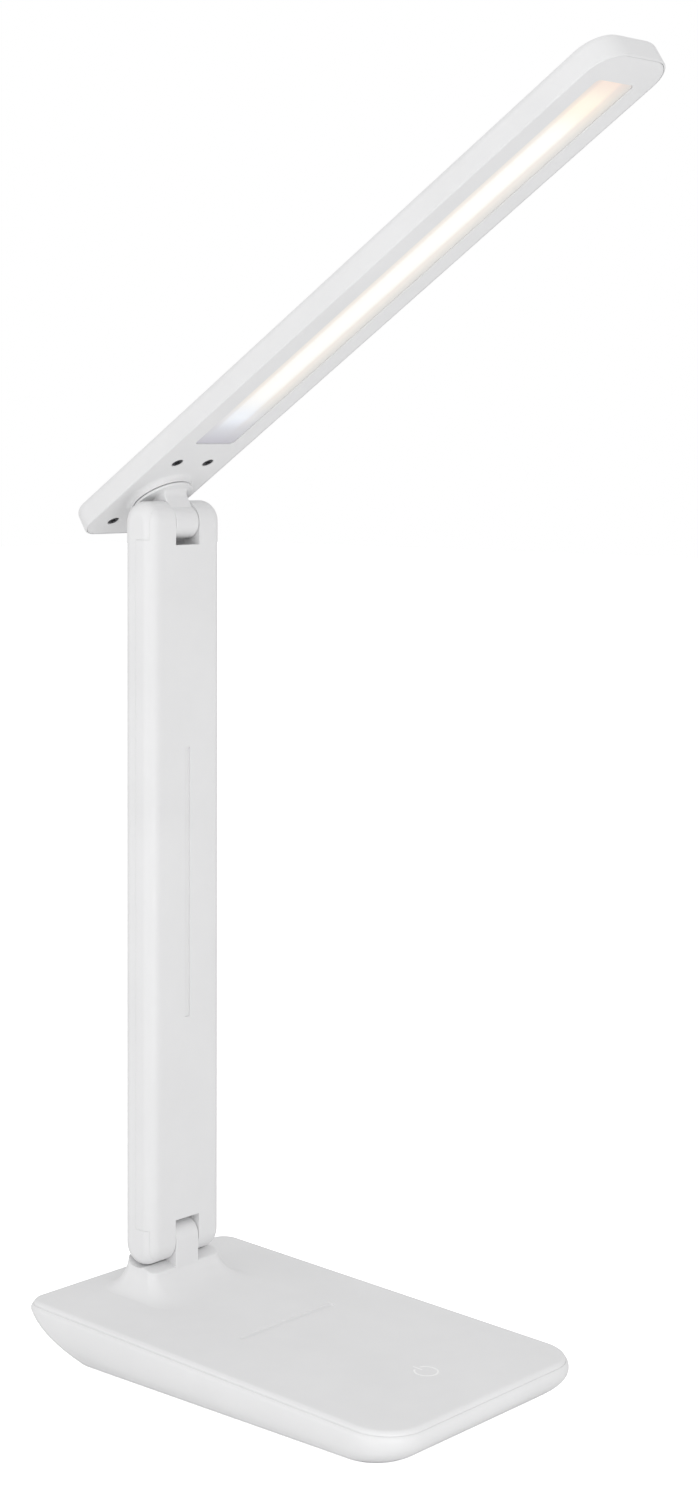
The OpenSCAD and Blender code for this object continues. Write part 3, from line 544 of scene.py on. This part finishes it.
# %% [markdown]
# The tongue is a flat block with a round top, the barrel that turns on the pin. Its front stands
# flush with the lip of the saddle. Its outline is drawn in the side view and pulled to its width.

# %% The tongue
KNUCKLE_R, KNUCKLE_W, PIN_R, FOOT_SUNK, KNUCKLE_SOFT = 6.2, 11.8, 2.25, 2.0, 0.5
lower_axis = Vector((0, AXIS_Y, LOWER_AXIS_Z))


def side_profile(name, points, half_width):
    """A solid from an outline of (y, z) points, pulled along X to both sides."""
    leave_edit()
    bpy.ops.mesh.primitive_circle_add(vertices=len(points), radius=MM, fill_type="NOTHING")
    piece = bpy.context.object
    piece.name = name
    for vertex, (y, z) in zip(piece.data.vertices, points):
        vertex.co = Vector((-half_width, y, z)) * MM
    edit(piece)
    bpy.ops.mesh.select_all(action="SELECT")
    bpy.ops.mesh.edge_face_add()
    extrude(2 * half_width, 0, 0)
    return close_mesh(piece)


def barrel(middle_y, middle_z, start, end):
    """Points of the knuckle's round between two angles, which count from +Y toward +Z."""
    steps = round(abs(end - start) / 6)
    turns = [math.radians(start + (end - start) * k / steps) for k in range(steps + 1)]
    return [(middle_y + KNUCKLE_R * math.cos(turn), middle_z + KNUCKLE_R * math.sin(turn))
            for turn in turns]


foot_z = SADDLE_LIP_Z - FOOT_SUNK
tongue = side_profile("tongue", barrel(AXIS_Y, LOWER_AXIS_Z, 0, 180)
                      + [(AXIS_Y - KNUCKLE_R, foot_z), (AXIS_Y + KNUCKLE_R, foot_z)],
                      KNUCKLE_W / 2)
soften(tongue, KNUCKLE_SOFT, angle=60, segments=4)
combine(cover, tongue, "UNION")
combine(cover, round_bar("pin_bore", PIN_R, lower_axis - across, lower_axis + across, 48),
        "DIFFERENCE")
soften(cover, 0.2, angle=60, segments=2)

# %% [markdown]
# Two shallow cuts finish the top face: the groove that holds a phone upright, and the ring of the
# touch mark. The groove's tool is lofted from slim outlines that shrink as they go down, which
# leaves a channel with a hollow section. The mark is a thin inlay of white ink a hair below the
# face.

# %% The phone groove
GROOVE_LEN, GROOVE_W, GROOVE_DEPTH, GROOVE_Y = 50.0, 2.6, 0.8, 5.5
GROOVE_TOP, ABOVE, GROOVE_STEPS = 2.0, 0.1, 6


def groove_outline(level, turn):
    """One outline of the channel: 0 degrees at the face, 90 at its floor."""
    less = GROOVE_W * 0.42 * (1 - math.cos(math.radians(turn)))
    width = GROOVE_W - 2 * less
    return rounded_plate("outline", GROOVE_LEN - 2 * less, width, width / 2.02, width / 2.02,
                         level=level, middle=GROOVE_Y, segments=10)


turns = [90 * step / GROOVE_STEPS for step in range(GROOVE_STEPS + 1)]
groove = loft("groove", [groove_outline(GROOVE_TOP, 0)] + [
    groove_outline(ABOVE - (GROOVE_DEPTH + ABOVE) * math.sin(math.radians(turn)), turn)
    for turn in turns])
for level in (GROOVE_TOP, -GROOVE_DEPTH):
    pick(groove, "EDGE", lambda e: len(e.link_faces) == 1 and ends(e, 2, level))
    bpy.ops.mesh.edge_face_add()
close_mesh(groove)
combine(cover, place(groove, on_top), "DIFFERENCE")
print("the groove is", GROOVE_LEN, "by", GROOVE_W, "mm and", GROOVE_DEPTH, "mm deep")

# %% The touch mark
ICON_Y, ICON_R, ICON_LINE, ICON_DEPTH = -60.0, 4.5, 0.7, 0.2
GAP_HALF_W, BAR_START, BAR_END, INK_SUNK = 1.5, 1.8, 6.0, 0.05


def mark_shape(name, bottom, top):
    """A plain power mark: an open ring and a short bar toward the arm."""
    def at(low, high):
        return (0, ICON_Y, low), (0, ICON_Y, high)

    ring = round_bar(name, ICON_R, *at(bottom, top))
    combine(ring, round_bar("inner", ICON_R - ICON_LINE, *at(bottom - 1, top + 1)), "DIFFERENCE")
    opening = block("opening", (-GAP_HALF_W, ICON_Y, bottom - 1),
                    (GAP_HALF_W, ICON_Y + 2 * ICON_R, top + 1))
    combine(ring, opening, "DIFFERENCE")
    bar = block("bar", (-ICON_LINE / 2, ICON_Y + BAR_START, bottom),
                (ICON_LINE / 2, ICON_Y + BAR_END, top))
    combine(ring, bar, "UNION")
    return place(ring, on_top)


combine(cover, mark_shape("mark_cut", -ICON_DEPTH, 2), "DIFFERENCE")
smooth(cover, 35)
dress(cover, "base", "white_shell", "base_cover")
mark = mark_shape("touch_mark", -ICON_DEPTH, -INK_SUNK)
smooth(mark)
dress(mark, "base", "mark_white", "power_icon")

# %% [markdown]
# ## The base tray
# Below the seam the base is formed like a boat: upright at the rim, then more and more drawn in
# toward the bottom. Such a hull is a loft. Rounded outlines are laid at several levels, each a
# little smaller and less tipped than the one above, and neighbours are bridged.

# %% The hull
SIDE_RAKE, END_RAKE, RIM_DROP, PAD_PROUD = 5.6, 9.7, 3.6, 1.0
BOTTOM_FRONT_R, BOTTOM_REAR_R = 14.0, 22.0
HULL_LEVELS = 9


def hull_level(t, less=0.0):
    """One outline of the hull: t is 0 at the bottom and 1 at the rim."""
    drawn = (1 - t) ** 2
    ring = rounded_plate("level", BASE_W - 2 * less - 2 * SIDE_RAKE * drawn,
                         BASE_LEN - 2 * less - 2 * END_RAKE * drawn,
                         FRONT_R * t + BOTTOM_FRONT_R * (1 - t) - less,
                         REAR_R * t + BOTTOM_REAR_R * (1 - t) - less)
    height = PAD_PROUD + t * (BASE_MID_H - RIM_DROP - PAD_PROUD)
    return place(ring, Matrix.Translation((0, 0, height * MM))
                 @ Matrix.Rotation(BASE_TILT * t, 4, "X"))


def rim_level(drop, less):
    ring = rounded_plate("level", BASE_W - 2 * less, BASE_LEN - 2 * less,
                         FRONT_R - less, REAR_R - less)
    return place(ring, on_top @ Matrix.Translation((0, 0, -drop * MM)))


rings = [hull_level(k / HULL_LEVELS) for k in range(HULL_LEVELS + 1)]
rings += [rim_level(drop, less) for drop, less in (
    (3.1, 0.03), (2.6, 0.13), (2.2, 0.3), (1.85, 0.55), (1.6, 0.85), (1.53, 0.97))]
tray = loft("base_hull_tray", rings)
print("hull:", len(tray.data.polygons), "faces in", len(rings), "levels")

# %% Close the hull, give it its wall and the opening for the power inlet
pick(tray, "EDGE", lambda e: len(e.link_faces) == 1 and ends(e, 2, PAD_PROUD))
bpy.ops.mesh.edge_face_add()
close_mesh(tray)
apply_modifier(tray, "SOLIDIFY", thickness=WALL * MM, offset=-1)
INLET_W, INLET_H, INLET_Z = 9.3, 3.6, 10.6
inlet_x = -(INLET_W - INLET_H) / 2
inlet = round_bar("inlet", INLET_H / 2, (inlet_x, 80, INLET_Z), (inlet_x, 100, INLET_Z), 32)
edit(inlet)
pick(inlet, "VERT", lambda v: v.co.x > inlet_x * MM + 1e-6)
bpy.ops.transform.translate(value=((INLET_W - INLET_H) * MM, 0, 0))
close_mesh(inlet)
combine(tray, inlet, "DIFFERENCE")
soften(tray, 0.15, angle=50, segments=2)
smooth(tray, 35)
dress(tray, "base", "white_shell", "base_tray")

# %% [markdown]
# ## The head
# The head is a long flat box with rounded corners and a soft upper edge. A thin panel closes it
# from below and leaves a fine line all round. Both are drawn level over the origin, with the
# underside at height zero and the swivel's axis in the middle, and are then tipped into place.

# %% The head's place and its shell
HEAD_TILT, HEAD_TURN = math.radians(32.5), math.radians(-0.5)
HEAD_DROP, SWIVEL_SET = 14.0, 1.7
HEAD_W, HEAD_T, HEAD_FRONT, HEAD_BACK = 38.6, 9.4, 263.0, 30.3
TIP_R, BACK_R, TOP_EDGE, LOWER_EDGE = 11.5, 9.0, 2.7, 0.65
PANEL_IN, PANEL_T, PANEL_PLAY, HEAD_WALL, ROOF_T = 0.7, 2.0, 0.1, 1.6, 1.6
head_middle, head_len = (HEAD_BACK - HEAD_FRONT) / 2, HEAD_FRONT + HEAD_BACK
at_neck = (Matrix.Translation(Vector((0, AXIS_Y, UPPER_AXIS_Z)) * MM)
           @ Matrix.Rotation(-HEAD_TILT, 4, "X"))
at_underside = (at_neck @ Matrix.Translation((0, SWIVEL_SET * MM, HEAD_DROP * MM))
                @ Matrix.Rotation(HEAD_TURN, 4, "Z"))

shell = rounded_plate("head_top_shell", HEAD_W, head_len, TIP_R, BACK_R, level=LOWER_EDGE,
                      middle=head_middle, segments=16)
edit(shell)
pick(shell, "FACE", lambda f: True)
extrude(0, 0, HEAD_T - TOP_EDGE - LOWER_EDGE)
inset_round(TOP_EDGE, TOP_EDGE, 7)
pick(shell, "EDGE", lambda e: ends(e, 2, LOWER_EDGE))
bpy.ops.mesh.edge_face_add()
bpy.ops.mesh.select_all(action="SELECT")
bpy.ops.mesh.normals_make_consistent(inside=False)
pick(shell, "FACE", lambda f: len(f.verts) > 20 and near(f.calc_center_median().z, LOWER_EDGE))
inset_round(LOWER_EDGE, LOWER_EDGE, 5)
inset(PANEL_IN - LOWER_EDGE)
extrude(0, 0, PANEL_T + PANEL_PLAY)
inset(HEAD_WALL - PANEL_IN)
extrude(0, 0, HEAD_T - ROOF_T - PANEL_T - PANEL_PLAY)
close_mesh(shell)
place(shell, at_underside)
smooth(shell, 40)
dress(shell, "head", "white_shell", "head_shell")

# %% [markdown]
# The panel is flat, but from it rises the turret of the swivel, in a hollow curve, and it has
# the light window and four screw holes. All these outlines lie in one plane. So each is drawn on
# its own as a loop, the rings of the turret are extruded from theirs, and the plane between the
# loops is filled in one go.

# %% Drawing loops
TURRET_H, TURRET_R, TURRET_ROOT_R, STEM_HOLE_R = 2.3, 12.3, 14.3, 5.05
ROOT_RIM, TURRET_SOFT = 0.15, 0.3
WINDOW_W, WINDOW_LEN, WINDOW_FRONT, WINDOW_R = 20.2, 216.0, 34.0, 2.0
SCREW_X, SCREW_FRONT, SCREW_BACK = 8.0, 21.0, 20.3
SCREW_HOLE_R, SCREW_SEAT, SHAFT_SHARE = 2.3, 1.2, 0.56


def loop_only(piece):
    """Leaves nothing but the outline of a face, all selected."""
    edit(piece)
    bpy.ops.mesh.select_all(action="SELECT")
    bpy.ops.mesh.delete(type="ONLY_FACE")
    bpy.ops.mesh.select_mode(type="EDGE")
    bpy.ops.mesh.select_all(action="SELECT")
    return piece


def circle(name, radius, x=0.0, y=0.0, points=96):
    leave_edit()
    bpy.ops.mesh.primitive_circle_add(vertices=points, radius=radius * MM,
                                      location=(x * MM, y * MM, 0), fill_type="NOTHING")
    piece = bpy.context.object
    piece.name = name
    bpy.ops.object.transform_apply(location=True, rotation=True, scale=True)
    edit(piece)
    bpy.ops.mesh.select_all(action="SELECT")
    return piece


def ring_to(scale, move, centre):
    """Extrudes the selected loop, then scales it about a centre and moves it up or down."""
    bpy.ops.mesh.extrude_region_move()
    bpy.ops.transform.resize(value=(scale, scale, 1), center_override=Vector(centre) * MM)
    bpy.ops.transform.translate(value=(0, 0, move * MM))

# %% The outlines of the panel, its window and its screw holes
PANEL_GAP = 0.12
panel_less = PANEL_IN + PANEL_GAP
loops = [loop_only(rounded_plate("head_bottom_panel", HEAD_W - 2 * panel_less,
                                 head_len - 2 * panel_less, TIP_R - panel_less,
                                 BACK_R - panel_less, middle=head_middle, segments=16))]
extrude(0, 0, PANEL_T)
loops.append(loop_only(rounded_plate("window", WINDOW_W, WINDOW_LEN, WINDOW_R, WINDOW_R,
                                     middle=-WINDOW_FRONT - WINDOW_LEN / 2, segments=8)))
extrude(0, 0, PANEL_T)
for x in (-SCREW_X, SCREW_X):
    for y in (-SCREW_FRONT, SCREW_BACK):
        loops.append(circle("screw_hole", SCREW_HOLE_R, x, y, 32))
        extrude(0, 0, SCREW_SEAT)
        ring_to(SHAFT_SHARE, 0, (x, y, 0))
        extrude(0, 0, PANEL_T - SCREW_SEAT)
print("the panel has", len(loops), "loops before its turret")

# %% The turret
def quarter(steps):
    """The sine and cosine of each step of a quarter turn, without its start."""
    turns = [math.radians(90 * step / steps) for step in range(1, steps + 1)]
    return [(math.sin(turn), math.cos(turn)) for turn in turns]


flare = TURRET_ROOT_R - ROOT_RIM - TURRET_R
turret_rings = [(TURRET_ROOT_R - ROOT_RIM, 0.0)]
turret_rings += [(TURRET_R + flare * (1 - sine), -(TURRET_H - TURRET_SOFT) * (1 - cosine))
                 for sine, cosine in quarter(8)]
turret_rings += [(TURRET_R - TURRET_SOFT * (1 - cosine), -TURRET_H + TURRET_SOFT * (1 - sine))
                 for sine, cosine in quarter(3)]
turret_rings += [(STEM_HOLE_R, -TURRET_H)]
loops.append(circle("turret", TURRET_ROOT_R))
radius, level = TURRET_ROOT_R, 0.0
for new_radius, new_level in turret_rings:
    ring_to(new_radius / radius, new_level - level, (0, 0, 0))
    radius, level = new_radius, new_level
extrude(0, 0, TURRET_H + PANEL_T)
bpy.ops.object.mode_set(mode="OBJECT")

# %% Join the loops and fill the plane between them
only(loops[0])
for piece in loops[1:]:
    piece.select_set(True)
bpy.ops.object.join()
panel = bpy.context.object
edit(panel)
for level in (0, PANEL_T):
    pick(panel, "EDGE", lambda e: len(e.link_faces) == 1 and ends(e, 2, level))
    bpy.ops.mesh.fill(use_beauty=True)
close_mesh(panel)
soften(panel, 0.2, angle=60, segments=2)
place(panel, at_underside)
smooth(panel, 35)
dress(panel, "head", "white_shell", "head_panel")

# %% [markdown]
# ## The neck
# The neck is the knuckle of the upper hinge: a barrel on the pin, a short block and the round
# plate under the turret. The block is narrower than the barrel and widens into the plate in a
# hollow curve, most of all at the front. So it is lofted from outlines, as the hull was.

# %% The neck
DISC_GAP, DISC_T, DISC_R, STEM_R, STEM_TOP, TOP_IN = 0.3, 1.0, 12.1, 5.0, 20.0, 0.4
NECK_FRONT, FRONT_SWEEP, SIDE_SWEEP, REAR_SWEEP = 5.2, 2.6, 1.0, 0.8
disc_top = HEAD_DROP - TURRET_H - DISC_GAP
disc_foot = disc_top - DISC_T


def swept_out(height, sweep):
    """How far a wall has moved outward at a height, if it ends in a quarter round."""
    rise = max(0.0, height - (disc_foot - sweep))
    return sweep - math.sqrt(max(0.0, sweep ** 2 - min(rise, sweep) ** 2))


def neck_outline(height):
    front = NECK_FRONT + swept_out(height, FRONT_SWEEP)
    rear = KNUCKLE_R - 0.02 + swept_out(height, REAR_SWEEP)
    half_w = KNUCKLE_W / 2 - 0.02 + swept_out(height, SIDE_SWEEP)
    corner_r = 0.5 + 0.5 * swept_out(height, FRONT_SWEEP)
    return rounded_plate("outline", 2 * half_w, front + rear, corner_r, corner_r, level=height,
                         middle=(rear - front) / 2, segments=6)


heights = [0.0, disc_foot - FRONT_SWEEP] + [
    disc_foot - FRONT_SWEEP * (1 - math.sin(math.radians(90 * k / 12))) for k in range(1, 12)]
stalk = loft("neck_stalk", [neck_outline(h) for h in heights + [disc_foot, disc_foot + TOP_IN]])
for end in (0.0, disc_foot + TOP_IN):
    pick(stalk, "EDGE", lambda e: len(e.link_faces) == 1 and ends(e, 2, end))
    bpy.ops.mesh.edge_face_add()
close_mesh(stalk)

neck = side_profile("neck_knuckle", barrel(0, 0, 0, 354), KNUCKLE_W / 2)
soften(neck, KNUCKLE_SOFT, angle=60, segments=4)
combine(neck, stalk, "UNION")
disc = round_bar("disc", DISC_R, (0, SWIVEL_SET, disc_foot), (0, SWIVEL_SET, disc_top))
soften(disc, 0.35, angle=60, segments=4)
combine(neck, disc, "UNION")
stem = round_bar("stem", STEM_R, (0, SWIVEL_SET, disc_top - 0.5), (0, SWIVEL_SET, STEM_TOP), 64)
combine(neck, stem, "UNION")
combine(neck, round_bar("bore", PIN_R, (-20, 0, 0), (20, 0, 0), 48), "DIFFERENCE")
place(neck, at_neck)
smooth(neck, 35)
dress(neck, "neck", "white_shell", "neck")

# %% [markdown]
# ## The light
# The window is closed by a milky plate. Behind it a row of light-emitting diodes makes a bright
# band along the middle that fades to a warm edge; the near end stays cool and grey, painted shade
# in the plate's base colour. The pattern is measured along and across the head, so the coordinates
# are first turned level.

# %% The lit diffuser
# How bright the glow is, and how far the painted shade at the window's near end reaches, in
# millimetres.
GLOW_STRENGTH, PAINTED_SHADE_REACH = 0.34, 26.0


def lit_diffuser():
    material = bpy.data.materials.new("lit_milky_diffuser")
    material.use_nodes = True
    nodes, links = material.node_tree.nodes, material.node_tree.links
    shader = nodes["Principled BSDF"]
    place_in = nodes.new("ShaderNodeTexCoord")
    level = nodes.new("ShaderNodeMapping")
    level.vector_type = "POINT"
    turned_back = at_underside.inverted()
    level.inputs["Location"].default_value = turned_back.to_translation()
    level.inputs["Rotation"].default_value = turned_back.to_euler()
    links.new(place_in.outputs["Object"], level.inputs["Vector"])
    parts = nodes.new("ShaderNodeSeparateXYZ")
    links.new(level.outputs["Vector"], parts.inputs["Vector"])

    def math_node(how, first, second=0.0):
        node = nodes.new("ShaderNodeMath")
        node.operation = how
        for socket, value in zip(node.inputs, (first, second)):
            if isinstance(value, float):
                socket.default_value = value
            else:
                links.new(value, socket)
        return node.outputs["Value"]

    def ramp(source, low, high, stops):
        spread = nodes.new("ShaderNodeMapRange")
        spread.inputs["From Min"].default_value = low * MM
        spread.inputs["From Max"].default_value = high * MM
        links.new(source, spread.inputs["Value"])
        node = nodes.new("ShaderNodeValToRGB")
        node.color_ramp.interpolation = "EASE"
        while len(node.color_ramp.elements) < len(stops):
            node.color_ramp.elements.new(0.5)
        for element, (at, colour) in zip(node.color_ramp.elements, stops):
            element.position, element.color = at, (*colour, 1)
        links.new(spread.outputs["Result"], node.inputs["Fac"])
        return node.outputs["Color"]

    def multiply(first, second):
        mix = nodes.new("ShaderNodeMix")
        mix.data_type, mix.blend_type = "RGBA", "MULTIPLY"
        mix.inputs["Factor"].default_value = 1
        for socket, value in (("A", first), ("B", second)):
            links.new(value, mix.inputs[socket])
        return mix.outputs["Result"]

    half_w, end = WINDOW_W / 2, WINDOW_FRONT + WINDOW_LEN
    along = math_node("MULTIPLY", parts.outputs["Y"], -1.0)
    glow = ramp(parts.outputs["X"], -half_w, half_w, [
        (0.0, (0.22, 0.17, 0.13)), (0.10, (0.55, 0.44, 0.34)), (0.24, (1.0, 0.95, 0.86)),
        (0.40, (1.0, 0.99, 0.95)), (0.60, (1.0, 0.96, 0.90)), (0.76, (0.50, 0.40, 0.30)),
        (1.0, (0.16, 0.13, 0.11))])
    reach = ramp(along, WINDOW_FRONT, end, [
        (0.0, (0.0, 0.0, 0.02)), (0.03, (0.05, 0.06, 0.10)), (0.085, (0.62, 0.72, 0.88)),
        (0.17, (1, 1, 1)), (0.86, (1, 1, 1)), (0.94, (1.0, 0.80, 0.45)),
        (1.0, (0.70, 0.32, 0.12))])
    # Painted shade: the plate's base colour is darker and cooler at the near end of the window and
    # fades to its plain milky white.
    milk_with_painted_shade = ramp(along, WINDOW_FRONT, WINDOW_FRONT + PAINTED_SHADE_REACH, [
        (0.0, (0.60, 0.59, 0.64)), (0.35, (0.70, 0.70, 0.73)), (0.75, (0.75, 0.75, 0.76)),
        (1.0, (0.76, 0.75, 0.73))])
    links.new(multiply(glow, reach), shader.inputs["Emission Color"])
    links.new(milk_with_painted_shade, shader.inputs["Base Color"])
    shader.inputs["Emission Strength"].default_value = GLOW_STRENGTH
    shader.inputs["Roughness"].default_value = 0.5
    return material


finishes["light_diffuser"] = lit_diffuser()
finishes["led_package"] = finish("warm_led_package", (0.9, 0.8, 0.5), 0.4)
print("the light window is", WINDOW_LEN, "by", WINDOW_W, "mm")

# %% [markdown]
# ## Dressing the engineering model
# Every solid that stays in view, or that could come into view when the lamp folds, gets its
# finish from the material slot that the record names for it.

# %% Finishes on the carried-over solids
for entry in frame["record"]["subparts"]:
    node = frame["nodes"][entry["node"]]
    node.data.materials.clear()
    node.data.materials.append(finishes[entry["material_slot"]])
print("dressed", len(frame["nodes"]), "solids")

# %% [markdown]
# ## Floor and light
# The lamp stands on a plain pale floor in a bright white room. Soft light from all round keeps
# the shadows faint, and large lamps give the faces slightly different tones. The floor and
# the room look pure white to the camera, but only the room and the lamps light the lamp.

# %% Floor, room and lamps
FLOOR_SIZE, SEEN_ROOM, LIT_ROOM, AIM_AT = 12.0, 1.0, 0.75, (0, 0, 0.2)
bpy.ops.mesh.primitive_plane_add(size=FLOOR_SIZE, location=(0, 0, 0))
floor = bpy.context.object
floor.name = "floor"
floor_finish = finish("pale_floor", (0.93, 0.93, 0.93), 0.9, grain=0.02, tone=0.01)
floor.data.materials.append(floor_finish)
floor_tree = floor_finish.node_tree
floor_shader = floor_tree.nodes["Principled BSDF"]
floor_shader.inputs["Emission Color"].default_value = (1, 1, 1, 1)
seen = floor_tree.nodes.new("ShaderNodeLightPath")
floor_tree.links.new(seen.outputs["Is Camera Ray"], floor_shader.inputs["Emission Strength"])

world = bpy.data.worlds.new("white_room")
bpy.context.scene.world = world
world.use_nodes = True
room = world.node_tree
seen_room, lit_room = room.nodes["Background"], room.nodes.new("ShaderNodeBackground")
for background, strength in ((seen_room, SEEN_ROOM), (lit_room, LIT_ROOM)):
    background.inputs["Strength"].default_value = strength
    background.inputs["Color"].default_value = (1, 1, 1, 1)
rays = room.nodes.new("ShaderNodeLightPath")
choice = room.nodes.new("ShaderNodeMixShader")
room.links.new(rays.outputs["Is Camera Ray"], choice.inputs["Fac"])
room.links.new(lit_room.outputs["Background"], choice.inputs[1])
room.links.new(seen_room.outputs["Background"], choice.inputs[2])
room.links.new(choice.outputs["Shader"], room.nodes["World Output"].inputs["Surface"])
bpy.context.scene.view_settings.view_transform = "Standard"


def soft_lamp(name, place_at, size, power):
    """A round softbox that is aimed at the middle of the lamp. Metres and watts."""
    light = bpy.data.lights.new(name, "AREA")
    light.shape, light.size, light.energy = "DISK", size, power
    lamp = bpy.data.objects.new(name, light)
    bpy.context.scene.collection.objects.link(lamp)
    lamp.location = place_at
    aim = Vector(AIM_AT) - Vector(place_at)
    lamp.rotation_euler = aim.to_track_quat("-Z", "Y").to_euler()


soft_lamp("left_softbox", (-1.7, 0.35, 0.4), 1.4, 4.6)
soft_lamp("front_left_softbox", (-1.3, -1.3, 0.9), 1.4, 4.4)
soft_lamp("low_softbox", (-0.22, -0.45, 0.05), 0.25, 0.48)
soft_lamp("top_softbox", (-0.2, -0.2, 2.2), 1.6, 3.0)
